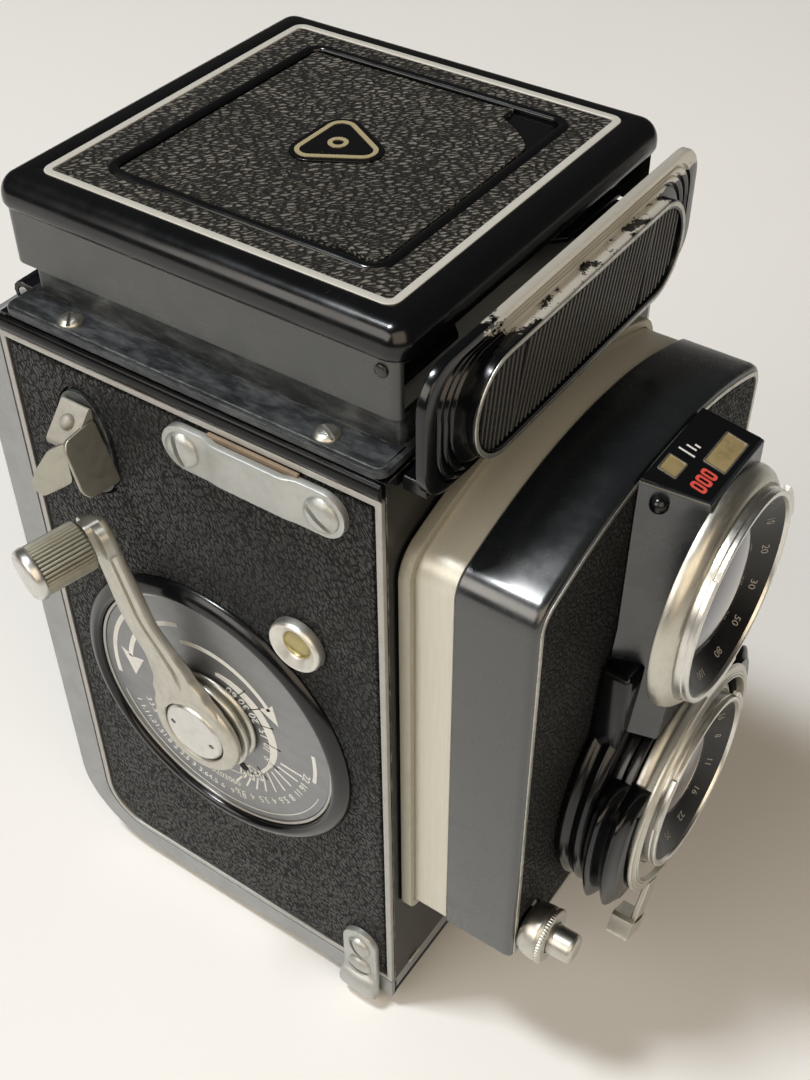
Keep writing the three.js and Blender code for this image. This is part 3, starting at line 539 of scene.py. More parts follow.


# The second colour of each leather is that of its pebble tops: lighter partly from wear, partly as a painted
# highlight.
LEATHERS = {
    "side_leather": ((0.0018, 0.002, 0.0022), (0.05, 0.054, 0.0555), (1.3, 0.66, 1.3), (0.55, 0, 0), 0.95,
                     (0.32, 0.8), (0.55, 1.0), (0.22, 1.15)),
    "hood_leather": ((0.012, 0.011, 0.0095), (0.25, 0.24, 0.215), (1.6, 0.66, 0.9), (0, 0, 0.75), 0.75,
                     (0.4, 0.85), (0.6, 1.0)),
    "front_leather": ((0.002, 0.002, 0.002), (0.03, 0.03, 0.029), (0.9, 0.7, 0.7), (0, 0.6, 0), 0.5),
}
PAINTS = {
    "gloss_enamel": dict(color=(0.0025, 0.003, 0.004), roughness=0.2, dust=0.35),
    "worn_enamel": dict(color=(0.004, 0.0045, 0.006), roughness=0.2, edge_reach=0.3, ior=1.36,
                        dust=0.4, high=0.4),
    "satin_black": dict(color=(0.008, 0.009, 0.011), roughness=0.27, ior=1.6),
    "panel_black": dict(color=(0.005, 0.0075, 0.0095), roughness=0.24, edge_reach=0.25, ior=1.95,
                        dust=0.2, high=0.5),
    "deep_black": dict(color=(0.002, 0.002, 0.0025), roughness=0.2, ior=1.32, dust=0.3),
    "skirt_black": dict(color=(0.014, 0.0175, 0.015), roughness=0.3, ior=1.8, dust=0.4),
    "dusty_black": dict(color=(0.011, 0.0125, 0.0145), roughness=0.32, metal=(0.3, 0.31, 0.31),
                        edge_reach=0.3, dust=1.0, high=0.3, film=0.4),
    "matte_black": dict(color=(0.008, 0.008, 0.008), roughness=0.75, dust=0.2),
    "name_enamel": dict(color=(0.0025, 0.003, 0.004), roughness=0.17, dust=0.35, bare=(138.9, 142.7)),
    # The ribs are the plate's black enamel, given a lighter grey as a painted highlight of their lit edges.
    "rib_painted_sheen": dict(color=(0.035, 0.034, 0.032), roughness=0.3, dust=0.6),
    "blued_black": dict(color=(0.009, 0.0125, 0.018), roughness=0.26, ior=1.9, dust=0.3),
    "ring_black": dict(color=(0.004, 0.004, 0.0045), roughness=0.3, dust=0.2),
}
# Colour, roughness, streak size, stain colour, stain amount, metallic.
METALS = {
    "worn_silver": ((0.62, 0.6, 0.52), 0.38, (1, 1, 1), DARK_STAIN, 0.5),
    "border_silver": ((0.56, 0.55, 0.5), 0.4, (0.9, 0.9, 0.9), DARK_STAIN, 0.75),
    "bezel_nickel": ((0.72, 0.71, 0.67), 0.3, (1.2, 0.5, 1.2)),
    "cream_nickel": ((0.6, 0.585, 0.52), 0.36, (1.6, 0.5, 1.6), (0.36, 0.31, 0.22)),
    "arm_nickel": ((0.56, 0.545, 0.49), 0.4, (1.2, 1.2, 3), (0.22, 0.19, 0.13), 0.25),
    "lug_nickel": ((0.5, 0.51, 0.49), 0.42, (2.5, 2.5, 2.5), (0.3, 0.29, 0.26), 0.3, 0.85),
    "socket_nickel": ((0.74, 0.73, 0.68), 0.4),
    "key_metal": ((0.36, 0.35, 0.31), 0.6, (1.5, 1.5, 1.5), TARNISH, 0.3, 0.6),
    "leaf_metal": ((0.43, 0.415, 0.355), 0.4, (1.5, 1.5, 1.5), TARNISH, 0.35),
    "cream_dull": ((0.4, 0.385, 0.32), 0.5, (0.4, 0.3, 6), TARNISH, 0.2, 0.35),
    "trim": ((0.46, 0.45, 0.43), 0.42, (2, 2, 2), TARNISH, 0.2, 0.85),
    # The back is black paint; its light grey metal colour is a painted reflection of the pale table.
    "door_painted_reflection": ((0.33, 0.34, 0.345), 0.45, (5, 5, 5), (0.2, 0.2, 0.2), 0.1, 0.55),
    "nickel": ((0.58, 0.57, 0.52), 0.36, (1.6, 1.6, 0.5), TARNISH, 0.25),
    "old_nickel": ((0.34, 0.335, 0.28), 0.46, (2, 0.6, 2), (0.13, 0.11, 0.07), 0.4),
    "cap_nickel": ((0.68, 0.675, 0.65), 0.33, (2, 2, 2)),
    "cream": ((0.64, 0.625, 0.545), 0.42, (0.4, 0.25, 9), (0.5, 0.46, 0.36), 0.1, 0.4),
    "inlay": ((0.66, 0.65, 0.6), 0.42, (3, 3, 3), (0.4, 0.38, 0.33), 0.4, 0.25),
    "dial_grey": ((0.25, 0.26, 0.27), 0.4, (0.5, 6, 1.4), (0.15, 0.15, 0.15), 0.2, 0.6),
    "brass": ((0.46, 0.4, 0.2), 0.36, (1.5, 1.5, 1.5), (0.2, 0.15, 0.06), 0.4),
    "gold": ((0.8, 0.69, 0.42), 0.36, (1.5, 1.5, 1.5), (0.4, 0.3, 0.14), 0.25, 0.6),
    "steel": ((0.5, 0.5, 0.49), 0.34, (0.5, 4, 4)),
    "mirror": ((0.86, 0.88, 0.9), 0.03, (6, 6, 6), (0.6, 0.6, 0.55), 0.12),
    "white_fill": ((0.72, 0.72, 0.69), 0.6, (1, 1, 1), (0.4, 0.38, 0.33), 0.4, 0.0),
    "figure_grey": ((0.36, 0.35, 0.32), 0.6, (1, 1, 1), TARNISH, 0.5, 0.0),
    "amber": ((0.36, 0.285, 0.14), 0.3, (2, 2, 2), (0.14, 0.1, 0.04), 0.8, 0.2),
    "slot_brown": ((0.26, 0.2, 0.14), 0.7, (1, 4, 1), (0.1, 0.07, 0.05), 0.7, 0.0),
    "red_fill": ((0.62, 0.07, 0.05), 0.6, (1, 1, 1), (0.2, 0.02, 0.01), 0.3, 0.0),
    "frosted": ((0.62, 0.65, 0.64), 0.6, (1, 1, 1), (0.4, 0.42, 0.42), 0.2, 0.0),
}
looks = {name: leatherette(name, *values) for name, values in LEATHERS.items()}
looks |= {name: enamel(name, **values) for name, values in PAINTS.items()}
looks |= {name: metal(name, *values) for name, values in METALS.items()}
looks["lens_glass"] = glass("lens_glass", (0.012, 0.012, 0.022))


def dress(piece, look, body, slot, *nodes):
    """Gives a piece its finish and its body, and says which CAD nodes it stands for."""
    piece.data.materials.clear()
    piece.data.materials.append(looks[look])
    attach(piece, body)
    if nodes:
        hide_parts(*nodes)
    return piece


# ---------------------------------------------------------------- hood
HOOD_PIVOT = (-34.75, 140.9)


def slotted_screw(name, plane, centre, seat, rise, radius, slot_angle, dome=0.55):
    """A slotted screw whose head rises from a seat towards the side that rise points to."""
    out = 1 if rise > 0 else -1
    profile = [(0.01, seat - out * 0.3), (radius, seat - out * 0.3), (radius, seat + rise * (1 - dome)),
               (radius * 0.72, seat + rise * (1 - dome * 0.3)), (0.01, seat + rise)]
    screw = turned(name, profile, plane, centre, sides=40, radius=radius * 0.3)
    half, width = radius * 1.2, radius * 0.15
    corners = [(-half, -width), (half, -width), (half, width), (-half, width)]
    spin = Matrix.Rotation(slot_angle, 2)
    outline = [tuple(spin @ Vector(corner) + Vector(centre)) for corner in corners]
    low, high = sorted((seat + rise * 0.35, seat + rise * 1.5))
    return carved(screw, prism("slot_tool", outline, plane, low, high))


def quarter_round(reach, top, drop, steps=10):
    """Profile points that turn from a flat top down to an upright side."""
    made = []
    for step in range(steps + 1):
        angle = QUARTER * step / steps
        made.append((reach * (1 - math.sin(angle)), top - drop * (1 - math.cos(angle))))
    return made


def build_hood_lid():
    x0, x1, y0, y1, z0, z1 = edges("hood_lid")
    body = "hood_lid"
    rim_low = z1 - 5
    top = [(5.6, rim_low), (5.6, z1 - 0.25), (5.3, z1 - 0.05), (3.6, z1)]
    under = [(0, rim_low + 0.9), (0.28, rim_low + 0.3), (0.8, rim_low)]
    rim_profile = top + quarter_round(3.1, z1 - 0.06, 3.3) + under
    rim = loft("hood_rim", rounded(x0, x1, y0, y1, 3.4), rim_profile, "z", closed=True, sharp=50)
    dress(rim, "gloss_enamel", body, "gloss_black_enamel", "hood_lid")

    wall = rounded(x0 + 0.75, x1 - 0.75, y0 + 0.75, y1 - 0.75, 2.2)
    skirt_profile = [(0, z0 + 0.3), (0, rim_low + 0.1), (1, rim_low + 0.1), (1, z0), (0.3, z0)]
    skirt = loft("hood_skirt", wall, skirt_profile, "z", closed=True)
    open_front = box("hole", (x0 + 1.75, x1 - 1.75), (y0 - 5, y0 + 4), (z0 - 5, rim_low - 0.1), edge=0)
    dress(carved(skirt, open_front), "skirt_black", body, "satin_black_paint")
    for side, x in (("crank_side", x0 + 0.75), ("knob_side", x1 - 0.75)):
        out = -1 if x < 0 else 1
        profile = [(1.0, x - out * 0.3), (1.0, x + out * 0.3), (0.6, x + out * 0.5), (AXIS, x + out * 0.55)]
        rivet = turned(f"hood_pivot_{side}", profile, "x", HOOD_PIVOT, sides=32)
        dress(rivet, "satin_black", body, "satin_black_paint")

    dx0, dx1, dy0, dy1, _, _ = edges("sports_finder_door")
    opening = rounded(dx0 - 0.3, dx1 + 0.3, dy0 - 0.3, dy1 + 0.3, 2.0)
    roof_outer = rounded(x0 + 3, x1 - 3, y0 + 3, y1 - 3, 1.5)
    levels = [(roof_outer, 0, z1 - 2), (roof_outer, 0, z1 - 0.5),
              (opening, -0.2, z1 - 0.5), (opening, -0.2, z1 - 2)]
    dress(stacked("hood_roof", levels, "z", closed=True), "matte_black", body, "satin_black_paint")

    inner = rounded(-28.1, 28.1, -32.75, 24.35, 1.1)
    levels = [(inner, 0, z1 - 0.6), (inner, 0.02, z1 - 0.12), (inner, 0.4, z1 + 0.06),
              (opening, -1.3, z1 + 0.05), (opening, -1.1, z1 - 0.1), (opening, -1.1, z1 - 0.6)]
    dress(stacked("hood_leather", levels, "z", closed=True), "hood_leather", body, "black_leatherette")

    line = rounded(-29.3, 29.3, -33.95, 25.55, 1.9)
    inlay = rail("hood_inlay", line, (0, 1.25), (z1 - 0.5, z1 + 0.1), "z", 0.15)
    dress(inlay, "inlay", body, "bright_trim")

    turns = [TURN * step / 14 for step in range(14)]
    section = [(-0.52 + 0.85 * math.cos(angle), z1 - 0.1 + 0.6 * math.sin(angle)) for angle in turns]
    bead = loft("finder_bead", opening, section, "z", closed=True, sharp=80)
    dress(bead, "gloss_enamel", body, "gloss_black_enamel")


def build_finder_door():
    """The sports-finder door: a black plate, its worn leather cut back at one corner, and a plain badge."""
    x0, x1, y0, y1, z0, z1 = edges("sports_finder_door")
    body = "hood_lid"
    plate_profile = softened([(0, z0), (0, z1 - 0.4), (0.5, z1 - 0.4)], 0.1)
    plate = loft("finder_plate", rounded(x0, x1, y0, y1, 1.6), [*plate_profile, (3, z1 - 0.4)], "z")
    dress(plate, "gloss_enamel", body, "gloss_black_enamel", "sports_finder_door")

    left, right, rear = x0 + 0.45, x1 - 0.45, y1 - 0.35
    columns, rows = 60, 52

    def front_edge(u):
        worn_back = 7.5 * max(0.0, min(1.0, (u - (right - 9.5)) / 6.5)) ** 1.6
        return y0 + 0.5 + worn_back + 0.12 * perlin(Vector((u * 0.6, 2, 0)))

    def side_edge(v):
        return left + 0.1 * perlin(Vector((v * 0.5, 7, 0))) + 0.9 * max(0.0, 1 - abs(v + 21) / 9) ** 1.5

    def surface_point(i, j, raised):
        t = j / rows
        u = left + (right - left) * i / columns
        v = front_edge(u) + (rear - front_edge(u)) * t
        u += (side_edge(v) - left) * max(0.0, 1 - i / 8)
        lift = 0.35 * math.exp(-((v - front_edge(u)) / 2.2) ** 2) * max(0.0, (u + 4) / 26)
        lift += 0.3 * math.exp(-((u - left) / 2.5) ** 2) * max(0.0, min(1.0, (-10 - v) / 10))
        swell = 0.05 * perlin(Vector((u * 0.25, v * 0.25, 3)))
        height = z1 - 0.05 + lift + swell if raised else z1 - 0.42
        return u, v, height

    bm = bmesh.new()
    layers = []
    for raised in (True, False):
        layers.append([[bm.verts.new(surface_point(i, j, raised)) for j in range(rows + 1)]
                       for i in range(columns + 1)])
    for layer in layers:
        for i in range(columns):
            for j in range(rows):
                bm.faces.new((layer[i][j], layer[i + 1][j], layer[i + 1][j + 1], layer[i][j + 1]))
    border = [(i, 0) for i in range(columns)] + [(columns, j) for j in range(rows)]
    border += [(i, rows) for i in range(columns, 0, -1)] + [(0, j) for j in range(rows, 0, -1)]
    for (a, b), (c, d) in zip(border, border[1:] + border[:1]):
        bm.faces.new((layers[0][a][b], layers[0][c][d], layers[1][c][d], layers[1][a][b]))
    dress(finished("finder_leather", bm), "hood_leather", body, "black_leatherette")

    centre = Vector((0.0, -4.0))

    def pointed(size, corner):
        """A triangle with round corners that points to the front."""
        made = []
        for number in range(3):
            angle = -QUARTER + number * TURN / 3
            at = centre + Vector((math.cos(angle), math.sin(angle))) * (size - 2 * corner)
            made += arc(at, corner, angle - math.pi / 3, angle + math.pi / 3, 8)
        return made

    top = z1 + 0.02
    badge = prism("hood_badge", pointed(10.6, 3.3), "z", z1 - 0.4, top + 0.25, edge=0.12)
    dress(badge, "gloss_enamel", body, "gloss_black_enamel")
    ring = prism("ring", pointed(8.8, 2.3), "z", top + 0.2, top + 0.34, holes=[pointed(7.3, 1.5)[::-1]])
    dot_hole = arc(centre, 0.8, TURN, 0, 40)[:-1]
    dot = prism("dot", arc(centre, 1.5, 0, TURN, 40)[:-1], "z", top + 0.2, top + 0.34, holes=[dot_hole])
    dress(joined("badge_lines", [ring, dot]), "gold", body, "brass")


def build_hood_base():
    x0, x1, y0, y1, z0, z1 = edges("hood_base")
    body = "camera_body"
    ledge_top = 128.5
    outer = rounded(x0, x1, y0, y1, 2.0)
    wall = rounded(-31.5, 31.5, -36.5, 28.2, 1.6)
    levels = [
        (outer, 0.2, z0), (outer, 0, z0 + 0.2), (outer, 0, ledge_top - 0.25), (outer, 0.1, ledge_top - 0.07),
        (outer, 0.3, ledge_top), (outer, 0.75, ledge_top), (outer, 0.9, ledge_top - 0.12),
        (outer, 1.05, ledge_top), (wall, -0.5, ledge_top), (wall, -0.15, ledge_top + 0.12),
        (wall, 0, ledge_top + 0.5), (wall, 0, z1 - 0.15), (wall, 0.15, z1), (wall, 0.8, z1),
        (wall, 0.8, ledge_top - 0.1), (wall, 4, ledge_top - 0.1), (wall, 4, z0),
    ]
    ledge = stacked("hood_ledge", levels, "z", closed=True)
    dress(ledge, "dusty_black", body, "satin_black_paint", "hood_base")
    turns = {"crank_side_front": 1.1, "crank_side_rear": 0.6, "knob_side_front": 0.2, "knob_side_rear": 2.2}
    for place_name, angle in turns.items():
        node = f"hood_screw_{place_name}"
        x, y, _ = middle(node)
        screw = slotted_screw(f"ledge_screw_{place_name}", "z", (x, y), ledge_top, 0.95, 1.95, angle, 0.75)
        dress(screw, "nickel", body, "satin_nickel", node)


build_hood_lid()
build_finder_door()
build_hood_base()


# ---------------------------------------------------------------- nameplate and front
TAKING_AXIS = (0, 53.0)
LENS_SIDES = 128


def build_nameplate():
    """The blank name casting: stepped lines round a ribbed oval."""
    x0, x1, y0, y1, z0, z1 = edges("nameplate")
    body = "camera_body"
    face, rear = y0 + 2.45, y1 - 3.45
    outer = rounded(x0, x1, z0, z1, 6.0, 12)
    oval = rounded(-28.75, 28.75, 125.25, 141.25, 7.9, 12)

    def between(share, inset=0.0):
        one, other = outer(inset), oval(inset)
        return [(a[0] + (b[0] - a[0]) * share, a[1] + (b[1] - a[1]) * share) for a, b in zip(one, other)]

    steps = [(0, 0.35, rear), (0, 0, rear - 0.3), (0, 0, face + 0.45), (0, 0.15, face + 0.12), (0, 0.5, face)]
    for share in (0.3, 0.5, 0.7):
        steps += [(share - 0.03, 0, face), (share, 0, face - 0.02), (share + 0.02, 0, face + 0.42),
                  (share + 0.07, 0, face + 0.42), (share + 0.1, 0, face - 0.1),
                  (share + 0.13, 0, face - 0.16)]
    steps += [(0.93, 0, face - 0.16), (1, 0, face - 0.3), (1, 0, y0 + 0.35), (1, 0.2, y0 + 0.12),
              (1, 0.45, y0 + 0.06), (1, 1.0, y0 + 0.06), (1, 1.2, y0 + 0.15), (1, 1.3, y0 + 0.75)]
    loops = [[place("y", u, v, height) for u, v in between(share, inset)] for share, inset, height in steps]
    plate = skinned("nameplate_casting", loops, sharp=40)
    foot = box("foot", (-34, 34), (-42, -38.3), (z0, z0 + 2.4), edge=0.3)
    dress(joined("nameplate_body", [plate, foot]), "name_enamel", body, "gloss_black_enamel", "nameplate")

    border = rail("nameplate_border", oval, (0.15, 0.85), (y0 + 0.5, y0), "y", 0.12)
    dress(border, "border_silver", body, "bright_trim")

    ribs = []
    pitch, slope, reach_full, end, count = 1.12, 0.3, 6.45, 20.85, 47
    for number in range(count):
        u = (number - (count - 1) / 2) * pitch
        reach = reach_full if abs(u) <= end else math.sqrt(max(reach_full ** 2 - (abs(u) - end) ** 2, 0.0))
        if reach < 1.2:
            continue
        lean = slope * reach if abs(u) < end - 3 else 0.15 * reach
        line = stroke([(u - lean, 133.25 - reach), (u + lean, 133.25 + reach)], 0.46)
        ribs.append(prism("rib", line, "y", y0 + 0.42, y0 + 0.9, edge=0.14))
    # The ribs' lighter grey is a painted highlight of their lit edges on black enamel.
    dress(joined("nameplate_ribs", ribs), "rib_painted_sheen", body, "gloss_black_enamel")


def panel_outline():
    """The lens panel's front outline, with its front and rear planes."""
    _, x1, y0, y1, z0, z1 = edges("front_panel")
    return crowned(x1, z0, z1, 85, 5), (y0, y1)


def build_front_frame():
    outline, _ = panel_outline()
    _, _, y0, y1, _, _ = edges("front_frame")
    frame_ring = rail("front_frame_ring", outline, (-1, 0.4), (y1, y0), "y", 0.35)
    dress(frame_ring, "cream_dull", "camera_body", "cream_lacquer", "front_frame")
    slit = box("casting_slit", (-32.8, -29.6), (-38.2, -37.8), (7.9, 8.7), edge=0.12)
    dress(slit, "worn_silver", "camera_body", "bright_trim")


def build_skirt():
    outline, _ = panel_outline()
    _, _, y0, y1, z0, _ = edges("front_skirt")
    skirt = rail("focus_skirt", outline, (0.5, 1.5), (y0, y1), "y", 0.2)
    dress(skirt, "cream", "front_standard", "cream_lacquer", "front_skirt")
    gussets = []
    for side in (-1, 1):
        corner = [(side * 33.4, z0 + 0.3), (side * 33.4, z0 + 3.2), (side * 30.4, z0 + 0.3)]
        gussets.append(prism("gusset", corner, "y", y0 - 0.2, y0 + 5.5, edge=0.15))
    dress(joined("skirt_gussets", gussets), "cream_dull", "front_standard", "cream_lacquer")


def build_front_panel():
    outline, (y0, y1) = panel_outline()
    body = "front_standard"
    release = middle("release_button")

    def openings(release_radius, depth):
        """Cutters for the two lenses and the release button."""
        cutters = []
        for node, radius in (("viewing_lens_barrel", 9), ("taking_lens_barrel", 16.2)):
            cutters.append(rod("hole", radius, y0 - 3, y0 + depth, "y", (0, middle(node)[2])))
        cutters.append(rod("hole", release_radius, y0 - 3, y0 + depth, "y", (release[0], release[2])))
        return cutters

    profile = softened([(1.5, y1), (0.12, y1), (0, y1 - 0.15), (0, y0 + 1.1, 0.6), (0.3, y0 + 0.25, 0.5),
                        (1.0, y0, 0.3)], 0.1)
    profile = [(1.5, y0 + 2), *profile, (1.9, y0), (1.9, y0 + 0.35), (2.5, y0 + 0.35)]
    panel = loft("front_panel_box", outline, profile, "y", sharp=40)
    dress(carved(panel, *openings(2.8, 6)), "panel_black", body, "gloss_black_enamel", "front_panel")

    border = rail("panel_border", outline, (0.95, 1.75), (y0 + 0.3, y0 - 0.14), "y", 0.14)
    dress(border, "border_silver", body, "bright_trim")

    leather = loft("front_leather", outline, [(1.9, y0 + 0.4), (1.9, y0 + 0.1), (2.15, y0 - 0.05)], "y")
    dress(carved(leather, *openings(4.4, 3)), "front_leather", body, "black_leatherette")


def build_shutter():
    """The shutter case: an upright block with two windows on top, over a ribbed round case."""
    body = "front_standard"
    y1 = edges("shutter_housing")[3]
    view_z, take_z = middle("viewing_lens_barrel")[2], middle("taking_lens_barrel")[2]
    case_profile = [(15.9, y1), (22.6, y1), (23.5, -61.0, 0.8), (22.3, -62.2, 0.8), (23.5, -63.6, 0.8),
                    (22.4, -65), (15.9, -65)]
    case = turned("case", case_profile, "y", (0, take_z), closed=True, radius=0.5)
    waist = [(-15.5, take_z + 13), (-13.5, view_z - 12), (13.5, view_z - 12), (15.5, take_z + 13)]
    web = prism("web", waist, "y", -64.9, y1, edge=0.9)
    web = carved(settled(web), rod("hole", 15.9, -80, -50, "y", (0, take_z)))
    dress(joined("shutter_case", [case, web]), "gloss_enamel", body, "satin_black_paint", "shutter_housing")

    # The block's top is level behind its brow and falls from there to its lip.
    top, brow, lip, fall = 118.4, -60.8, -69.3, 0.25
    low_z = top + (lip - brow) * fall
    levels = [(72, -13.5, -11.0, 13.6, 13.2), (80, -11.4, -8.2, 12.0, 12.4),
              (90, -9.5, -6.2, 10.7, 11.8), (112, -9.3, -5.9, 10.5, 11.6)]
    loops = []
    for z, rear_left, front_left, rear_right, front_right in levels:
        loops.append([(rear_left, y1, z), (rear_right, y1, z), (front_right, lip, z), (front_left, lip, z)])
    loops.append([(-9.1, y1, top - 0.25), (10.4, y1, top - 0.25),
                  (11.5, lip, low_z - 0.3), (-5.8, lip, low_z - 0.3)])
    loops.append([(-8.8, y1, top), (10.1, y1, top), (11.2, lip + 0.25, low_z), (-5.5, lip + 0.25, low_z)])
    dress(bevelled(skinned("window_block", loops, sharp=25), 0.2), "blued_black", body, "satin_black_paint")
    cover = [(-8.7, y1 - 0.1), (10.0, y1 - 0.1), (11.1, lip + 0.25), (-5.4, lip + 0.25)]
    tilt = about((0, brow, top), "X", math.atan(fall))
    cover = moved(prism("block_cover", cover, "z", top - 0.5, top + 0.06), tilt)
    dress(cover, "gloss_enamel", body, "gloss_black_enamel")

    ball_x, ball_radius = -8.4, 1.4
    turns = [math.pi * step / 16 for step in range(17)]
    bulge = [(max(ball_radius * math.sin(a), AXIS), ball_x - ball_radius * math.cos(a)) for a in turns]
    ball = loft("block_ball", circle((-62.9, 115.2), 40), bulge, "x", sharp=80)
    dress(ball, "gloss_enamel", body, "satin_black_paint")

    windows, glazing, marks, red = [], [], [], []
    for u0, u1, v0, v1 in ((-5.4, -1.6, -63.6, -60.5), (0.6, 8.4, -68.4, -64.7)):
        frame_outline = rounded(u0, u1, v0, v1, 0.3, 3)()
        opening = rounded(u0 + 0.25, u1 - 0.25, v0 + 0.25, v1 - 0.25, 0.2, 3)()[::-1]
        pane = rounded(u0 + 0.2, u1 - 0.2, v0 + 0.2, v1 - 0.2, 0.2, 3)()
        windows.append(prism("frame", frame_outline, "z", top - 0.2, top + 0.2, holes=[opening], edge=0.06))
        glazing.append(prism("pane", pane, "z", top - 0.3, top + 0.09))
    dress(moved(joined("window_frames", windows), tilt), "worn_silver", body, "bright_trim")
    dress(moved(joined("window_panes", glazing), tilt), "amber", body, "lens_glass")
    for u, v, length in ((0.2, -63.6, 2.6), (1.5, -63.2, 1.6), (2.4, -63.4, 0.9)):
        tick = [(u, v), (u + 0.32, v), (u + 0.32, v + length), (u, v + length)]
        marks.append(prism("tick", tick, "z", top - 0.1, top + 0.1))
    dress(moved(joined("block_ticks", marks), tilt), "white_fill", body, "bright_trim")
    for number in range(3):
        u = -4.9 + number * 1.6
        outside = rounded(u, u + 1.3, -67.9, -65.4, 0.5, 4)()
        inside = rounded(u + 0.4, u + 0.9, -67.4, -65.9, 0.2, 4)()
        red.append(prism("bar", outside, "z", top - 0.1, top + 0.1, holes=[inside[::-1]]))
    dress(moved(joined("block_red_rings", red), tilt), "red_fill", body, "bright_trim")


def build_lens(name, tube, flange, dome_start, bezel, bore):
    """A lens mount: domed flange, bayonet bezel with three claws, black inner cone with figures, glass."""
    body = "front_standard"
    mount_node, glass_node = f"{name}_lens_barrel", f"{name}_lens_glass"
    _, _, front, y1, z0, z1 = edges(mount_node)
    centre = (0, (z0 + z1) / 2)
    rear = y1 if name == "taking" else dome_start + 0.4
    mount = turned(f"{name}_mount", [
        (bore + 0.6, rear), (tube, rear), (tube, dome_start + 0.1), (flange, dome_start + 0.1),
        (flange, dome_start - 0.7, 0.3), (flange - 0.3, dome_start - 1.7, 0.9),
        (bezel + 1.0, dome_start - 2.7, 0.6), (bezel + 0.4, dome_start - 3.0, 0.2),
        (bezel + 0.2, dome_start - 2.6, 0.2), (bore + 0.6, dome_start - 2.6)],
        "y", centre, closed=True, radius=0.25, sides=LENS_SIDES)
    dress(mount, "nickel" if name == "taking" else "cream_nickel", body, "satin_nickel", mount_node)
    rim = turned(f"{name}_bezel", [
        (bezel - 1.2, dome_start - 2.2), (bezel, dome_start - 2.2), (bezel, front + 1.0, 0.1),
        (bezel - 0.15, front + 0.9), (bezel - 0.1, front + 0.1, 0.2), (bezel - 0.45, front, 0.2),
        (bezel - 0.9, front + 0.05, 0.2), (bezel - 1.15, front + 0.7)],
        "y", centre, closed=True, radius=0.12, sides=LENS_SIDES)
    claws = []
    for number in range(3):
        angle = TURN * number / 3 + 0.5
        sector = ring_sector(bezel - 0.1, bezel + 0.8, angle - 0.28, angle + 0.28, 12)
        claw = prism("claw", sector, "y", front + 0.1, front + 1.0, edge=0.15)
        claws.append(moved(claw, Matrix.Translation((0, 0, centre[1]))))
    dress(joined(f"{name}_bayonet", [rim, *claws]), "bezel_nickel", body, "satin_nickel")

    r_out, y_out, r_in, y_in = bezel - 1.1, front + 0.6, bore - 1.4, front + 4.3
    cone_profile = [(r_out, y_out), (r_out, front + 5.1), (r_in - 0.8, front + 5.1), (r_in - 0.8, y_in + 0.4),
                    (r_in, y_in)]
    cone = turned(f"{name}_inner_ring", cone_profile, "y", centre, closed=True, radius=0.05, sides=LENS_SIDES)
    dress(cone, "ring_black", body, "satin_black_paint")

    figures = []
    slope = math.atan2(y_in - y_out, r_out - r_in)
    ring_mid, y_mid = r_out * 0.56 + r_in * 0.44, y_out * 0.56 + y_in * 0.44
    values = "2.8 4 5.6 8 11 16 22 75" if name == "taking" else "4 7 10 20 30 50 80 100"
    for number, value in enumerate(values.split()):
        angle = math.radians(66 - 25 * number)
        outward = Vector((math.cos(angle), 0, math.sin(angle)))
        along = Vector((math.sin(angle), 0, -math.cos(angle)))
        upward = outward * math.cos(slope) + Vector((0, -math.sin(slope), 0))
        normal = along.cross(upward)
        at = outward * ring_mid + Vector((0, y_mid, centre[1])) + normal * 0.05
        lay = Matrix((along, upward, normal)).transposed().to_4x4()
        figures.append(moved(numeral(value, 1.75, 0.05), Matrix.Translation(at) @ lay))
    dress(joined(f"{name}_ring_figures", figures), "figure_grey", body, "bright_trim")

    radius, curve = r_in - 0.1, 2.9
    bulge = []
    for step in range(17):
        angle = QUARTER * step / 16
        bulge.append((max(radius * math.sin(angle), AXIS), y_in + 0.2 - curve * math.cos(angle)))
    glass_profile = bulge + [(radius, front + 5.3), (AXIS, front + 5.3)]
    lens = loft(f"{name}_glass", circle(centre, LENS_SIDES), glass_profile, "y")
    dress(lens, "lens_glass", body, "lens_glass", glass_node)


def build_levers():
    """The two setting levers: thin rings with thumb grips ribbed along the ring."""
    for node, angle in (("shutter_speed_lever", math.pi), ("aperture_lever", 0.0)):
        _, _, y0, y1, _, _ = edges(node)
        centre = TAKING_AXIS
        ring_front, ring_rear = (-66.6, -65.3) if node.startswith("shutter") else (-68.3, -67.0)
        ring_profile = [(16.0, ring_front), (19.4, ring_front), (19.4, ring_rear), (16.0, ring_rear)]
        ring = turned("ring", ring_profile, "y", centre, closed=True)
        inner, reach, spread, ridges = 18.6, 25.5, math.radians(38), 2
        stations, points = 56, 36
        loops = []
        for i in range(stations + 1):
            share = i / stations
            at = angle - spread + 2 * spread * share
            shoulder = min(1.0, min(share, 1 - share) * 4.5)
            shoulder = 0.06 + 0.94 * math.sin(QUARTER * shoulder)
            loop = [(inner, y1), (inner, y0)]
            for k in range(points + 1):
                t = k / points
                wave = 0.5 - 0.5 * math.cos(TURN * ridges * t)
                size = inner + (reach - inner) * shoulder * (0.7 + 0.3 * wave ** 0.7)
                loop.append((size, y0 + (y1 - y0) * t))
            loops.append([(r * math.cos(at), y, centre[1] + r * math.sin(at)) for r, y in loop])
        grip = skinned("grip", loops, sharp=50)
        dress(joined(f"{node}_grip", [ring, grip]), "gloss_enamel", node, "gloss_black_enamel", node)


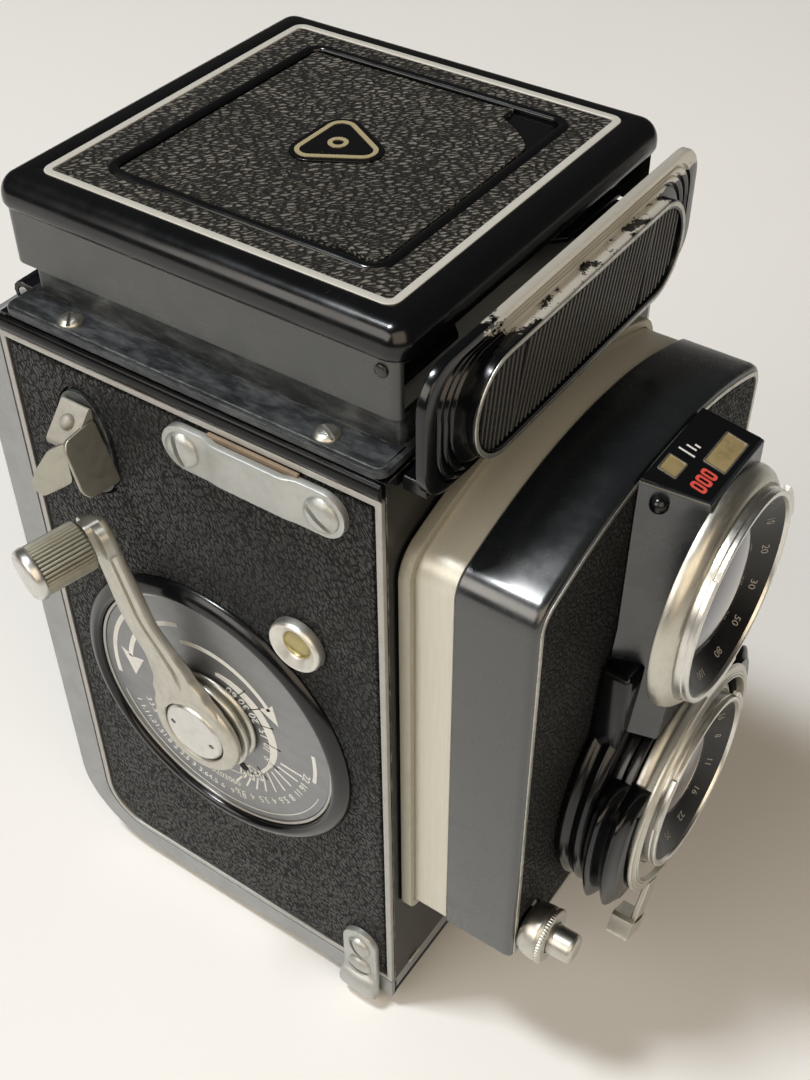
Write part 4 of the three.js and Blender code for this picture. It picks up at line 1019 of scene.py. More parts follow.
def build_release():
    x0, x1, y0, y1, z0, z1 = edges("release_collar")
    centre = (x0 + x1) / 2, (z0 + z1) / 2
    dome_profile = [(2.9, y1), (3.9, y1, 0.3), (4.6, y1 - 1.2, 0.9), (4.85, y0 + 1.6, 0.3), (4.6, y0 + 0.9),
                    (2.9, y0 + 0.9)]
    dome = turned("dome", dome_profile, "y", centre, closed=True, sides=80)
    edge = softened([(2.9, y0), (4.4, y0), (4.9, y0 + 0.3), (4.9, y0 + 0.95), (2.9, y0 + 0.95)], 0.1, True)
    rim = loft("rim", knurled(centre, 52, 0.16), edge, "y", closed=True, sharp=60)
    collar = joined("release_collar_turned", [dome, rim])
    dress(collar, "nickel", "release_collar", "satin_nickel", "release_collar")
    _, _, y0, y1, _, _ = edges("release_button")
    profile = [(AXIS, y0 + 0.15), (1.5, y0, 0.4), (2.2, y0 + 0.15, 0.3), (2.6, y0 + 0.6, 0.3),
               (2.6, y1), (AXIS, y1)]
    button = turned("release_button_turned", profile, "y", centre, sides=64)
    dress(button, "nickel", "release_button", "satin_nickel", "release_button")


def build_focus_lever():
    """The focusing lever's ring, with turned ribs, its blade and a ribbed tip leaning to the crank side."""
    _, _, y0, y1, _, _ = edges("focus_lever")
    ring_profile = [(18.5, y0 + 1.0)]
    for number in range(4):
        radius, height = 18.7 + number * 0.5, y0 + 0.05 + number * 0.12
        ring_profile += [(radius, height), (radius + 0.26, height), (radius + 0.36, y0 + 0.4)]
    ring_profile += [(20.8, y0 + 0.6), (20.8, y0 + 1.0)]
    ring = turned("ring", ring_profile, "y", TAKING_AXIS, closed=True, sides=LENS_SIDES, radius=0.08)
    lean = about((0, 0, TAKING_AXIS[1]), "Y", math.radians(30))
    blade = moved(settled(box("blade", (-2, 2), (y0, y0 + 1), (24.6, 33.2), edge=0.3)), lean)
    teeth = 8
    tip = []
    for i in range(teeth):
        u = -2.9 + 5.8 * i / (teeth - 1)
        tip += [(u - 0.26, 22.3), (u - 0.1, 21.95), (u + 0.1, 21.95), (u + 0.26, 22.3)]
    tip += [(3.1, 22.6), (3.1, 25.4), (2.4, 25.9), (-2.4, 25.9), (-3.1, 25.4), (-3.1, 22.6)]
    knob = moved(settled(prism("tip", tip, "y", y0, y1, edge=0.12)), lean)
    lever = joined("focus_lever_plated", [ring, blade, knob])
    dress(lever, "cream_nickel", "focus_lever", "satin_nickel", "focus_lever")


# ---------------------------------------------------------------- sides
SPOOL_KNOBS = ("upper_spool_knob", "lower_spool_knob")
KEY_CENTRE = (16.0, 108.0)
PLATE_FACE = -39.15  # lug and catch, drawn on the crank side


def build_sides():
    body = "camera_body"
    for side_name, out in (("crank_side", -1), ("knob_side", 1)):
        x0, x1, y0, y1, z0, z1 = edges(f"{side_name}_leather")
        seat, face = (x1, x0) if out < 0 else (x0, x1)
        outline = side_view(y0, y1, z0, z1, 7.4)
        profile = softened([(0, seat), (0, face), (0.8, face + out * 0.12)], 0.35)
        skin = loft(f"{side_name}_leatherette", outline, profile, "x")
        if out < 0:
            tools = [rod("hole", 28, -45, -30, "x", middle("dial_ring")[1:])]
            tools.append(prism("key_hole", key_outline(0.5), "x", -45, -30))
        else:
            tools = [rod("hole", 4.6, 45, 30, "x", middle(node)[1:]) for node in SPOOL_KNOBS]
        dress(carved(skin, *tools), "side_leather", body, "black_leatherette", f"{side_name}_leather")

        x0, x1, y0, y1, z0, z1 = edges(f"{side_name}_trim")
        seat, face = (x1, x0) if out < 0 else (x0, x1)
        outer = side_view(y0 + 0.1, y1, z0, z1, 9.0)
        line = rail(f"{side_name}_trim_line", outer, (0, 1.08), (seat, face), "x", 0.22)
        dress(line, "trim", body, "bright_trim", f"{side_name}_trim")

        low, high = z1 + 0.05, edges("hood_base")[4] - 0.02
        mid_z, rise = (low + high) / 2, (high - low) / 2
        turns = [QUARTER * (step / 8 - 1) for step in range(17)]
        section = [(out * (37.6 + 0.8 * math.cos(a)), mid_z + rise * math.sin(a)) for a in turns]
        loops = [[(x, y, z) for x, z in section] for y in (y0 + 0.3, y1 - 0.3)]
        band = skinned(f"{side_name}_casting_band", loops)
        dress(band, "deep_black", body, "gloss_black_enamel")
        build_strap_lug(side_name, out)
        build_corner_catch(side_name, out)


def mirrored(name, pieces, out):
    """Pieces are drawn for the crank side; for the knob side they are reflected across the middle."""
    made = joined(name, pieces)
    if out > 0:
        made.data.transform(Matrix.Scale(-1, 4, Vector((1, 0, 0))))
        made.data.flip_normals()
    return made


def build_strap_lug(side_name, out):
    """A strap plate screwed down at both ends; its upper edge leans out to let the strap pass."""
    body = "camera_body"
    node = f"{side_name}_strap_lug"
    _, _, y0, y1, z0, z1 = edges(node)
    half_height = (z1 - z0) / 2
    mid_z = (z0 + z1) / 2
    stations = 72

    def lean(y):
        share = (y - (y0 + 7.5)) / (y1 - y0 - 15)
        t = 0.0 if share <= 0 or share >= 1 else min(1.0, 6 * min(share, 1 - share))
        return t * t * (3 - 2 * t)

    loops = []
    for i in range(stations + 1):
        y = y0 + 0.02 + (y1 - y0 - 0.04) * (1 - math.cos(math.pi * i / stations)) / 2
        edge_reach = half_height
        for end, sign in ((y0, 1), (y1, -1)):
            distance = sign * (y - end)
            if distance < half_height:
                squared = half_height ** 2 - (half_height - distance) ** 2
                edge_reach = min(edge_reach, math.sqrt(max(squared, 0.0004)))
        tip = 0.5 * lean(y)
        out_x, in_x = PLATE_FACE - 0.25 * lean(y), -38.0 - 0.25 * lean(y)
        soft = min(0.2, edge_reach * 0.4)
        low, high = mid_z - edge_reach, mid_z + edge_reach
        bend = high - min(2.2, edge_reach)
        tip_x = out_x - tip
        section = [(in_x, low), (out_x + soft, low), (out_x + soft * 0.3, low + soft * 0.3),
                   (out_x, low + soft), (out_x, bend), (tip_x, high - soft),
                   (tip_x + soft * 0.3, high - soft * 0.3), (tip_x + soft, high),
                   (in_x - tip - 0.1 * lean(y), high), (in_x, bend)]
        loops.append([(x, y, z) for x, z in section])
    strip = skinned("strip", loops, sharp=36)
    screws = []
    for y, angle in ((y0 + 3.75, 0.65), (y1 - 3.75, 1.25)):
        screws.append(slotted_screw("screw", "x", (y, mid_z), PLATE_FACE, -1.25, 2.9, angle, 0.75))
    plate = mirrored(f"{side_name}_lug_plate", [strip, *screws], out)
    dress(plate, "lug_nickel", body, "satin_nickel", node)
    low, high = y0 + 8, y1 - 8
    felt = box("felt", (-38.5, -37.9), (low, high), (z0 + 0.9, z1 + 0.5), edge=0.1)
    dress(mirrored(f"{side_name}_lug_lining", [felt], out), "slot_brown", body, "matte_black")


def build_corner_catch(side_name, out):
    """The fixed catch at the lower front corner: a screwed plate that swells into a rounded foot."""
    body = "camera_body"
    node = f"{side_name}_corner_catch"
    _, _, y0, y1, z0, z1 = edges(node)
    mid_y, half = (y0 + y1) / 2, (y1 - y0) / 2 - 0.1
    stations = 64
    loops = []
    for i in range(stations + 1):
        share = (1 - math.cos(math.pi * i / stations)) / 2
        z = z0 + 0.02 + (z1 - z0 - 0.04) * share
        swell = math.sin(math.pi * max(0.0, min(1.0, (7.5 - (z - z0)) / 7.5)) ** 0.8)
        reach = half * (0.9 + 0.1 * swell)
        if z1 - z < reach:
            reach = math.sqrt(max(reach ** 2 - (reach - (z1 - z)) ** 2, 0.01))
        if z - z0 < 1.8:
            reach *= 0.55 + 0.45 * math.sqrt(max(0.0, 1 - (1 - (z - z0) / 1.8) ** 2))
        face = -39.2 - 1.9 * swell
        soft = min(0.3 + 0.9 * swell, reach * 0.5)
        back = -38.05 - 0.9 * swell
        near, far = mid_y - reach, mid_y + reach
        section = [(back, near), (face + soft, near), (face + soft * 0.3, near + soft * 0.3),
                   (face, near + soft), (face - 0.15 * swell, mid_y), (face, far - soft),
                   (face + soft * 0.3, far - soft * 0.3), (face + soft, far), (back, far)]
        loops.append([(x, y, z) for x, y in section])
    strip = skinned("strip", loops, sharp=40)
    screws = []
    for z, angle in ((z0 + 15.4, 0.9), (z0 + 9.4, 0.2)):
        screws.append(slotted_screw("screw", "x", (mid_y, z), PLATE_FACE, -1.3, 2.5, angle, 0.75))
    plate = mirrored(f"{side_name}_catch_plate", [strip, *screws], out)
    dress(plate, "lug_nickel", body, "satin_nickel", node)


def key_outline(grow):
    """A shield with round shoulders."""
    width, top, low = 5.4 + grow, 11.2 + grow, 7.2 + grow
    made = []
    for step in range(48):
        angle = TURN * step / 48
        side, rise = math.cos(angle), math.sin(angle)
        reach = top if rise > 0 else low
        across = width * math.copysign(abs(side) ** 0.85, side)
        up = reach * math.copysign(abs(rise) ** 0.95, rise)
        made.append((KEY_CENTRE[0] + across, KEY_CENTRE[1] + up))
    return made


def build_key():
    """The folding key: a dark shield, a riveted wedge and two thin leaves."""
    shield = prism("key_shield", key_outline(0), "x", -38.35, -37.3, edge=0.2)
    dress(shield, "dusty_black", "camera_body", "satin_black_paint", "key_base")
    body = "wing_key"
    wedge = [(-38.4, 117.6), (-39.0, 117.7), (-43.3, 113.0), (-43.0, 111.9), (-38.4, 110.0)]
    side = softened(wedge, 0.4, True)
    head = bevelled(skinned("head", [[(x, y, z) for x, z in side] for y in (13.2, 18.6)]), 0.3)
    lean = math.atan2(4.3, 4.7)
    rivet_profile = [(AXIS, -1.0), (0.75, -0.9), (1.25, -0.35), (1.3, 0.4), (AXIS, 0.4)]
    rivet = turned("rivet", rivet_profile, "x", sides=32, radius=0.35)
    moved(rivet, Matrix.Translation((-40.9, 15.9, 115.6)) @ Matrix.Rotation(QUARTER - lean, 4, "Y"))
    pin = rod("pin", 2.2, -39.5, -36, "x", KEY_CENTRE, sides=40)
    dress(joined("key_head", [head, rivet, pin]), "key_metal", body, "satin_nickel", "wing_key")
    right = [(-38.55, 13.2, 116.0), (-44.2, 13.5, 115.1), (-45.0, 12.9, 113.8), (-45.0, 11.0, 107.2),
             (-44.1, 10.5, 105.8), (-38.55, 9.5, 105.8)]
    left = [(-44.2, 13.4, 115.1), (-44.9, 16.4, 112.9), (-45.6, 19.4, 108.2), (-46.0, 20.4, 105.6),
            (-46.0, 19.9, 104.1), (-45.8, 18.4, 103.7), (-45.3, 13.6, 107.6), (-44.8, 12.4, 108.6)]
    leaves = joined("key_leaves", [leaf_plate("right", right, 0.75), leaf_plate("left", left, 0.6)])
    dress(leaves, "leaf_metal", body, "satin_nickel")


def leaf_plate(name, corners, thickness):
    """A thin plate with a bright rounded edge on a nearly flat outline in space."""
    points = [Vector(corner) for corner in softened_in_space(corners, 0.9)]
    normal = Vector((0, 0, 0))
    for one, other in zip(points, points[1:] + points[:1]):
        normal += one.cross(other)
    offset = normal.normalized() * thickness / 2
    loops = [[tuple(point + shift) for point in points] for shift in (offset, -offset)]
    return settled(bevelled(skinned(name, loops), 0.26))


# ---------------------------------------------------------------- crank side
ARM_TILT = math.radians(-17.5)
ARM_REACH = 40.5
KNOB_LEAN = math.radians(18)
KNOB_PIVOT_X = -44.5
DIAL_FACE = -38.3
DIAL_SIDES = 160
CRANK_SIDES = 112


def build_socket():
    """The flash socket: a pale dish with a brass bowl."""
    _, u, v = middle("sync_socket")
    body = "camera_body"
    dish_profile = [(2.4, -38.1), (2.4, -38.8), (2.7, -39.1, 0.3), (3.9, -39.85, 0.3), (4.3, -39.95, 0.3),
                    (4.65, -39.5, 0.3), (4.75, -38.1)]
    dish = turned("socket_dish", dish_profile, "x", (u, v), closed=True, sides=64)
    dress(dish, "socket_nickel", body, "satin_nickel", "sync_socket")
    turns = [QUARTER * step / 8 for step in range(8)]
    bowl = [(2.5, -39.0)] + [(2.35 * math.cos(a), -38.95 + 0.75 * math.sin(a)) for a in turns]
    core = loft("socket_core", circle((u, v), 48), [(0.02, -37.9), (2.5, -37.9), *bowl, (0.02, -38.2)], "x")
    dress(core, "brass", body, "brass")


def facing_crank_side(u, v, height, up):
    """Lays a drawing made in x and y flat on the crank side, its top at an angle from +Y towards +Z."""
    basis = Matrix(((0, 0, -1, 0), (-1, 0, 0, 0), (0, 1, 0, 0), (0, 0, 0, 1)))
    return Matrix.Translation((height, u, v)) @ basis @ Matrix.Rotation(QUARTER - up, 4, "Z")


def build_dial():
    body = "camera_body"
    _, u, v = middle("dial_ring")
    centre = (u, v)
    dish_profile = [(24.75, -37.1), (24.75, -38.2), (24.95, -39.2, 0.3), (25.5, -39.75, 0.6),
                    (26.6, -39.5, 1.0), (27.5, -38.85, 0.6), (27.95, -38.2), (27.9, -37.1)]
    ring = turned("dial_dish", dish_profile, "x", centre, closed=True, sides=DIAL_SIDES, radius=0.3)
    dress(ring, "gloss_enamel", body, "gloss_black_enamel", "dial_ring")
    edge_profile = [(24.1, -37.4), (24.1, -38.55), (24.65, -38.6), (24.65, -37.4)]
    line = turned("dial_edge", edge_profile, "x", centre, closed=True, sides=DIAL_SIDES)
    dress(line, "trim", body, "bright_trim")
    plate_profile = [(6.0, DIAL_FACE), (24.0, DIAL_FACE), (24.0, -37.4), (6.0, -37.4)]
    disc = turned("dial_plate", plate_profile, "x", centre, closed=True, sides=DIAL_SIDES, radius=0.05)
    dress(disc, "dial_grey", body, "dial_metal", "dial_disc")

    white, dark = [], []
    top, seat = DIAL_FACE - 0.05, DIAL_FACE + 0.1

    def shape(points, store=white, holes=(), height=top):
        outline, *openings = [[(a + u, b + v) for a, b in loop] for loop in (points, *holes)]
        store.append(prism("mark", outline, "x", height, seat, holes=openings))

    def band(inner, outer, start, end):
        shape(ring_sector(inner, outer, math.radians(start), math.radians(end), 40))

    def polar(radius, angle):
        return (radius * math.cos(math.radians(angle)), radius * math.sin(math.radians(angle)))

    def spiral(share):
        """Radius of the inner scale's band at its angle."""
        return 10.4 + 2.9 * share

    def figure(text, radius, angle, size, up):
        mark = numeral(text, size, 0.06)
        a, b = polar(radius, angle)
        white.append(moved(mark, facing_crank_side(a + u, b + v, top + 0.01, math.radians(up))))

    band(17.95, 18.9, 8, 72)
    shape([polar(18.2, 9), polar(20.6, 10.5), polar(18.0, -6), polar(15.6, 12), polar(17.6, 9)])
    band(21.55, 22.45, -9, 48)
    band(14.45, 15.35, 68, 146)
    shape([polar(14.9, 144), polar(16.7, 142), polar(15.2, 158), polar(12.9, 143)])
    band(20.65, 21.4, 172, 191)
    first, sweep, inner_steps = 98, 142, 26
    outline_out, outline_in = [], []
    for step in range(inner_steps + 1):
        share = step / inner_steps
        angle, mid = first + sweep * share, spiral(share)
        width = 0.5 + 0.85 * math.sin(math.pi * min(share * 1.25, 1.0)) ** 0.7
        outline_out.append(polar(mid + width, angle))
        outline_in.append(polar(mid - width * 0.4, angle))
    shape(outline_out + outline_in[::-1])
    for angle in (126, 143, 161, 182, 205, 226):
        mid = spiral((angle - first) / sweep)
        near, far = mid - 1.0, mid + 1.9
        tick = [(near, 0), (far, 0), (far, 0.9), (near, 1.1)]
        shape([polar(radius, angle + turn) for radius, turn in tick], dark)
    inner_scale = {"60": (9.4, 120), "30": (9.8, 137), "20": (10.2, 154), "15": (11.1, 172),
                   "10": (11.6, 189), "8": (12.3, 204)}
    for text, (radius, angle) in inner_scale.items():
        figure(text, radius - 0.3, angle, 2.3, angle + 180)
    fan = [(-164, 14.2, 18.6, -167), (-158, 14, 18.2, -160), (-152, 13.8, 17.8, -151),
           (-146, 13.8, 17.8, -142), (-140, 13.6, 17.6, -133), (-134, 13.5, 17.4, -124),
           (-128, 13.4, 17.2, -116), (-122, 13.2, 17.0, -108), (-116, 13.0, 16.8, -100)]
    for start, low, high, end in fan:
        bend = polar((low + high) / 2, start * 0.45 + end * 0.55)
        shape(stroke([polar(low, start), bend, polar(high, end)], 0.36))
    for angle, turn in ((-112, 0.5), (-119, 0.15), (-126, -0.25)):
        a, b = polar(13.3, angle)
        tilt = math.radians(angle) + turn
        across, along = math.cos(tilt), math.sin(tilt)
        loops = []
        for width, length in ((0.75, 1.9), (0.42, 1.5)):
            oval = [(length * math.cos(t), width * math.sin(t)) for t in (TURN * k / 24 for k in range(24))]
            loops.append([(a + x * across - y * along, b + x * along + y * across) for x, y in oval])
        shape(loops[0], holes=[loops[1][::-1]])
    for number, text in enumerate("22 16 11 8 5.6 4 3.5 4 5.6".split()):
        angle = -168 + number * 8.4
        figure(text, 19.4, angle, 2.1, angle)
    far_scale = "3 3.5 4 5 6 7 8 10 12 15 20 30 60".split()
    near_scale = "1 1.1 1.2 1.5 1.8 2 2.5 3 3.6 4.5 6 9 18".split()
    for number, (inner, outer) in enumerate(zip(far_scale, near_scale)):
        angle = -24 - number * 6.3
        figure(inner, 17.2, angle, 2.0, angle + 180)
        figure(outer, 20.3, angle - 1.5, 1.85, angle + 180)
    band(14.0, 14.2, -112, -22)
    band(22.6, 22.75, -160, -20)
    dress(joined("dial_marks", white), "white_fill", body, "dial_metal")
    shape([(a - 5.2, b - 10.8) for a, b in arc((0, 0), 0.95, 0, TURN, 20)[:-1]], dark, height=top - 0.02)
    dress(joined("dial_dark_marks", dark), "matte_black", body, "dial_metal")


def build_crank():
    body = "crank"
    _, u, v = middle("dial_ring")
    on_arm = Matrix.Translation((0, u, v)) @ Matrix.Rotation(ARM_TILT, 4, "X")
    on_knob = on_arm @ Matrix.Translation((KNOB_PIVOT_X, 0, ARM_REACH)) @ Matrix.Rotation(-KNOB_LEAN, 4, "Z")

    hub_profile = [
        (AXIS, -43.0), (5.9, -43.0), (5.9, -41.3), (9.15, -41.2, 0.2), (9.35, -40.6, 0.3), (9.0, -40.3),
        (7.9, -40.15), (7.9, -39.7), (8.9, -39.5, 0.2), (9.3, -39.0, 0.2), (9.2, -38.65), (5.2, -38.5),
        (5.2, -32.8), (AXIS, -32.8)]
    hub = turned("hub_rings", hub_profile, "x", (u, v), sides=CRANK_SIDES)
    cap_profile = [(AXIS, -44.05), (3.5, -44.0), (5.4, -43.9, 0.2), (5.95, -43.3, 0.3), (5.95, -42.4),
                   (AXIS, -42.4)]
    cap = turned("hub_cap", cap_profile, "x", (u, v), sides=CRANK_SIDES)
    pits = [rod("hole", 0.5, -45, -43.2, "x", (u + side * 4, v + side * 0.6), sides=24) for side in (-1, 1)]
    dress(carved(cap, *pits), "cap_nickel", body, "satin_nickel")
    dress(hub, "nickel", body, "satin_nickel", "crank_hub")

    def spread(points, s):
        """Reads a value from a table of distances along the arm, smoothly."""
        for (s0, a), (s1, b) in zip(points, points[1:]):
            if s <= s1:
                t = max(0.0, min(1.0, (s - s0) / (s1 - s0)))
                t = t * t * (3 - 2 * t)
                return a + (b - a) * t
        return points[-1][1]

    widths = [(4, 7.4), (8, 5.8), (12, 4.1), (17, 3.25), (26, 2.85), (36, 2.6), (41, 2.75), (43.6, 2.0)]
    outsides = [(4, -43.6), (12, -43.75), (27, -45.3), (44, -45.3)]
    insides = [(4, -41.5), (11, -41.6), (25, -43.4), (44, -43.7)]
    loops = []
    stations = 60
    for i in range(stations + 1):
        s = 4.2 + (43.4 - 4.2) * i / stations
        half, out_x, in_x = spread(widths, s), spread(outsides, s), spread(insides, s)
        if i == stations:
            half *= 0.85
        groove = 0.0 if s < 9 or s > 38.5 else 0.42 * min(1.0, (s - 9) / 3) * min(1.0, (38.5 - s) / 3)
        g0, g1 = -half * 0.62, -half * 0.3
        soft = min(0.55, half * 0.4)
        section = [
            (half, in_x - 0.3), (half, out_x + soft), (half - soft * 0.3, out_x + soft * 0.3),
            (half - soft, out_x), (half * 0.2, out_x - 0.12), (g1, out_x - 0.02), (g1 - 0.12, out_x + groove),
            (g0 + 0.12, out_x + groove), (g0, out_x + 0.02), (-half + soft, out_x + 0.1),
            (-half + soft * 0.3, out_x + soft * 0.4), (-half, out_x + soft), (-half, in_x - 0.3),
            (-half + 0.35, in_x), (half - 0.35, in_x),
        ]
        loops.append([(x, w, s) for w, x in section])
    blade = skinned("blade", loops, sharp=50)
    collar_profile = [(6.15, -41.5), (8.0, -41.5), (8.75, -41.9, 0.3), (8.9, -42.7, 0.6), (8.2, -43.6, 0.9),
                      (6.9, -43.9, 0.4), (6.3, -43.7, 0.2), (6.15, -43.2)]
    collar = turned("collar", collar_profile, "x", closed=True, sides=CRANK_SIDES, radius=0.3)
    blade = carved(blade, rod("bore", 6.15, -50, -35, "x"))
    for piece in (blade, collar):
        moved(piece, on_arm)
    tab = prism("tab", rounded(-4.7, 4.7, -2.9, 2.9, 2.2)(), "x", -1.35, 0.0, edge=0.45)
    tongue = prism("tongue", rounded(-2.1, 2.1, -2.3, 3.2, 1.2)(), "x", -2.3, 0.3, edge=0.5)
    axle = rod("axle", 1.35, -9.8, -0.2, "x", sides=32)
    for piece in (tab, tongue, axle):
        moved(settled(piece), on_knob)
    arm = joined("crank_arm_plated", [blade, collar, tab, tongue, axle])
    dress(arm, "arm_nickel", body, "satin_nickel", "crank_arm")

    near, far = -2.5, -13.0
    barrel_profile = [(1.7, near), (3.7, near), (4.1, near - 0.35), (4.1, far + 1.9), (3.8, far + 1.6),
                      (1.7, far + 1.6)]
    barrel_profile = softened(barrel_profile, 0.15, True)
    barrel = loft("knob_barrel", knurled((0, 0), 38, 0.32, 8), barrel_profile, "x", closed=True, sharp=70)
    moved(barrel, on_knob)
    dress(barrel, "old_nickel", "crank_knob", "satin_nickel", "crank_knob")
    end_profile = [(1.7, far + 2.6), (1.7, far + 2.2), (4.15, far + 2.2), (4.25, far + 1.7, 0.2),
                   (4.2, far + 0.75, 0.5), (3.7, far + 0.3, 0.3), (3.5, far + 0.3, 0.1),
                   (3.35, far + 0.5, 0.1), (3.15, far + 0.25, 0.2), (AXIS, far)]
    cap = turned("knob_end", end_profile, "x", radius=0.3)
    moved(cap, on_knob)
    dress(cap, "cap_nickel", "crank_knob", "satin_nickel")


# ---------------------------------------------------------------- back, base and knob side
def build_door():
    """The hinged back: a strip that turns under the base, side flanges, leather, feet and hinge knuckle."""
    body = "back_door"
    front, rear, low, top, half = -37.9, 37.0, 3.0, 123.3, 38.0

    def lip(inset, rear_in, low_in, corner_in, corner=15.25):
        """Side outline of the back and base: outer edge there, inner edge back."""
        r = corner - inset
        outer = arc((rear - corner, low + corner), r, -QUARTER, 0, 32)
        inner = arc((rear_in - corner_in, low_in + corner_in), corner_in, 0, -QUARTER, 24)
        ends = [(rear - inset, top - inset), (rear_in, top - inset)]
        return [(front, low + inset), *outer, *ends, *inner, (front, low_in)]

    pieces = []
    for out in (-1, 1):
        start, end = sorted((out * (half - 1.4), out * half))
        pieces.append(prism("flange", lip(0, 31.0, 7.75, 9.0), "x", start, end, edge=0.5))
    skin = prism("skin", lip(0.18, rear - 1.6, low + 1.6, 13.65), "x", -half + 0.8, half - 0.8, edge=0.15)
    pieces.append(carved(skin, rod("hole", 8.3, -1, 9, "z")))
    pieces.append(box("lock_edge", (-37.4, 37.4), (-37.9, -36.5), (3.2, 7.6), edge=0.4))
    # The door shell's light grey colour is a painted reflection of the pale table on its black paint.
    dress(joined("door_shell", pieces), "door_painted_reflection", body, "satin_black_paint", "back_door")

    tube = [(1.15, -9.9), (1.9, -9.9), (1.9, 9.9), (1.15, 9.9)]
    knuckle = turned("knuckle", tube, "x", (33.5, 125.25), closed=True, sides=40)
    leaf = box("leaf", (-10, 10), (33.4, 35.2), (top - 1.2, 125.3), edge=0.3)
    dress(joined("door_knuckle", [knuckle, leaf]), "steel", body, "steel")

    foot = [(AXIS, 0), (2.0, 0.02), (2.8, 0.7, 0.6), (3.1, 2.4), (3.3, 3.4), (AXIS, 3.4)]
    spots = ((-30, 26), (30, 26), (-30, -31), (30, -31))
    feet = [turned("foot", foot, "z", spot, sides=40, radius=0.4) for spot in spots]
    dress(joined("door_feet", feet), "nickel", body, "satin_nickel")

    outline = rounded(-34, 34, 20.5, 118.5, 3.0)()
    rear_sheet = prism("rear_sheet", outline, "y", rear - 0.4, rear + 0.3, edge=0.3)
    dress(rear_sheet, "front_leather", body, "black_leatherette")
    outline, hole = rounded(-34, 34, -34.5, 20.5, 3.0)(), arc((0, 0), 17.2, TURN, 0, 72)[:-1]
    base_sheet = prism("base_sheet", outline, "z", low - 0.35, low + 0.4, holes=[hole], edge=0.25)
    dress(base_sheet, "front_leather", body, "black_leatherette")
    line = rounded(-35, 35, 19.5, 119.5, 4.0)
    rule = rail("rear_rule", line, (0, 0.7), (rear - 0.4, rear + 0.05), "y", 0.1)
    dress(rule, "trim", body, "bright_trim")


def build_spool_knobs():
    profile = softened([(6.2, 38.5), (6.5, 38.9), (6.5, 42.7), (6.1, 43.3), (5.2, 43.7), (4.4, 43.7),
                        (4.1, 43.2), (0.02, 43.2)], 0.2)
    shaft_profile = [(AXIS, 29.2), (2.6, 29.2), (2.6, 34), (3.9, 34), (3.9, 38.7), (AXIS, 38.7)]
    pin_profile = [(AXIS, 43.0), (2.6, 43.0), (2.6, 43.7), (2.2, 44.0), (AXIS, 44.0)]
    for node in SPOOL_KNOBS:
        centre = middle(node)[1:]
        head = loft("head", knurled(centre, 36, 0.3), [(0.02, 38.5), *profile], "x", sharp=60)
        shaft = turned("shaft", shaft_profile, "x", centre, sides=48)
        pin = turned("pin", pin_profile, "x", centre, sides=48)
        dress(joined(f"{node}_turned", [head, shaft, pin]), "nickel", node, "satin_nickel", node)


def carried(look, bevel, *nodes):
    """CAD nodes that keep their shape: a finish of their own and softened edges."""
    for node in nodes:
        piece = bpy.data.objects[node]
        if not piece.material_slots:
            piece.data.materials.append(looks[look])
        for slot in piece.material_slots:
            slot.material = looks[look]
        weld = piece.modifiers.new("weld", "WELD")
        weld.merge_threshold = 0.00001
        if bevel:
            bevelled(piece, bevel, 2)


build_nameplate()
build_front_frame()
build_skirt()
build_front_panel()
build_shutter()
build_lens("viewing", tube=16.5, flange=19.25, dome_start=-69.2, bezel=16.9, bore=13.5)
build_lens("taking", tube=15.5, flange=18.25, dome_start=-68.6, bezel=15.6, bore=11.5)
build_levers()
build_release()
build_focus_lever()
build_sides()
build_key()
build_socket()
build_dial()
build_crank()
build_door()
build_spool_knobs()
carried("worn_enamel", 0.45, "body_shell")
carried("matte_black", 0.2, "film_chamber", "mirror_tray")
carried("mirror", 0, "reflex_mirror")
carried("frosted", 0.1, "ground_glass")
carried("satin_black", 0.15, "crank_side_flap", "knob_side_flap", "rear_flap")
carried("gloss_enamel", 0.2, "magnifier")
carried("steel", 0.15, "door_hinge_pin", "upper_film_roller", "lower_film_roller", "tripod_bush")
carried("dusty_black", 0.2, "supply_spool", "takeup_spool", "pressure_plate")
carried("brass", 0.1, "crank_gear", "idler_gear", "takeup_gear")
carried("nickel", 0.25, "latch_ring")


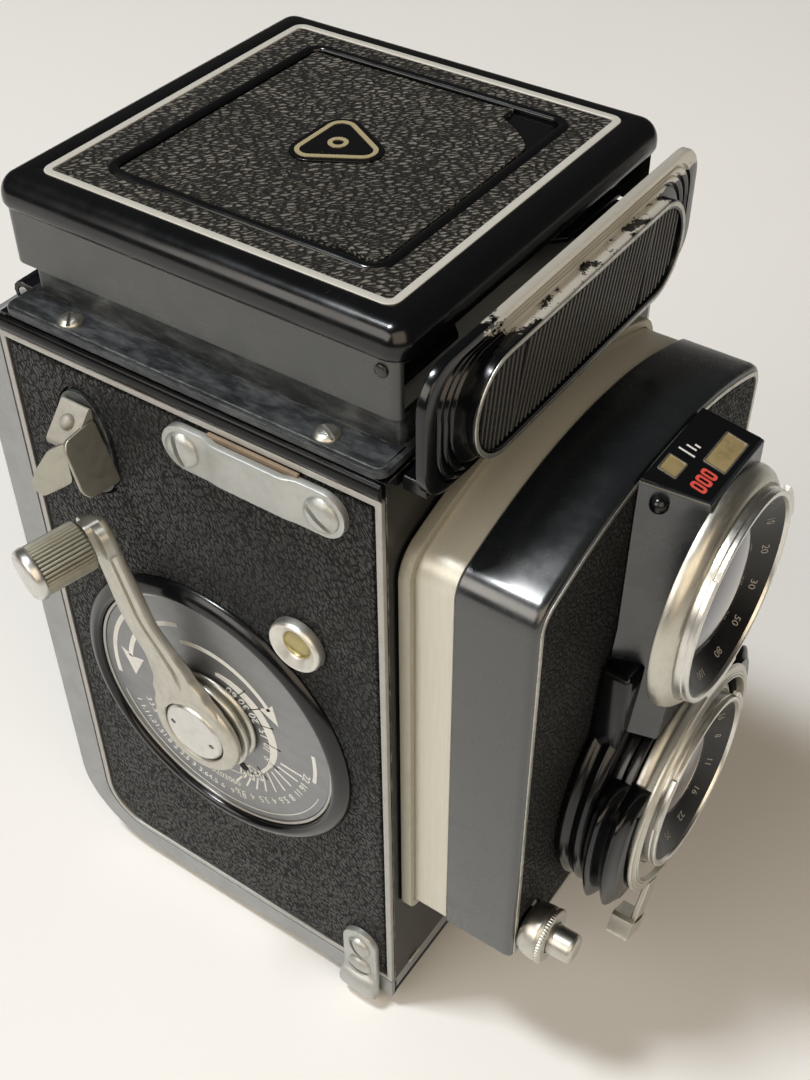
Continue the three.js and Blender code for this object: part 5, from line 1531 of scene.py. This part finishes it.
# ---------------------------------------------------------------- table, camera and light
def build_table():
    made = Finish("table_top", (0.85, 0.845, 0.83), 0.55)
    cloud = made.ramp(made.grain((160, 160, 160), 3), 0.3, 0.7, 0, 0.5)
    made.link(made.blend(cloud, (0.86, 0.855, 0.84), (0.83, 0.825, 0.81)), "Base Color")
    made.bump(made.grain((0.9, 0.9, 0.9), 3), 0.01)
    half = 1500
    top = prism("table", [(-half, -half), (half, -half), (half, half), (-half, half)], "z", -8, 0)
    top.data.materials.append(made.material)


CAMERA_AT = Vector((-0.1460, -0.1169, 0.2434))
CAMERA_RIGHT = Vector((0.5684, -0.8228, -0.0052))
CAMERA_UP = Vector((0.5643, 0.3851, 0.7303))
CAMERA_BACK = Vector((-0.59883, -0.41798, 0.68315))


def build_camera():
    data = bpy.data.cameras.new("view")
    data.lens = 47.36
    data.sensor_width = 36
    data.sensor_fit = "AUTO"
    data.clip_start = 0.01
    view = bpy.data.objects.new("view", data)
    turn = Matrix((CAMERA_RIGHT, CAMERA_UP, CAMERA_BACK)).transposed()
    view.matrix_world = Matrix.Translation(CAMERA_AT) @ turn.to_4x4()
    bpy.context.scene.collection.objects.link(view)
    bpy.context.scene.camera = view


LIGHT_AIM = Vector((0, 0, 0.08))


def area_light(name, direction, distance, width, height, power, color):
    """A flat lamp at a distance in metres from the point that it faces."""
    data = bpy.data.lights.new(name, "AREA")
    data.shape = "RECTANGLE"
    data.size = width
    data.size_y = height
    data.energy = power
    data.color = color
    lamp = bpy.data.objects.new(name, data)
    at = LIGHT_AIM + Vector(direction).normalized() * distance
    aim = (LIGHT_AIM - at).to_track_quat("-Z", "Y")
    lamp.matrix_world = Matrix.Translation(at) @ aim.to_matrix().to_4x4()
    bpy.context.scene.collection.objects.link(lamp)


def build_light():
    area_light("lamp", (-0.21, 0.295, 0.93), 2.0, 0.3, 0.3, 25.5, (0.97, 1.0, 1.02))
    area_light("window", (-0.78, 0.3, 0.55), 2.0, 1.5, 1.0, 17, (1.0, 0.94, 0.86))
    area_light("room", (-0.5, -0.62, 0.6), 3.0, 3.0, 2.6, 45, (1.0, 0.84, 0.64))
    world = bpy.data.worlds.new("room_air")
    world.use_nodes = True
    background = world.node_tree.nodes["Background"].inputs
    background["Color"].default_value = (1.0, 0.92, 0.82, 1)
    background["Strength"].default_value = 0.06
    bpy.context.scene.world = world
    bpy.context.scene.view_settings.view_transform = "Standard"


build_table()
build_camera()
build_light()
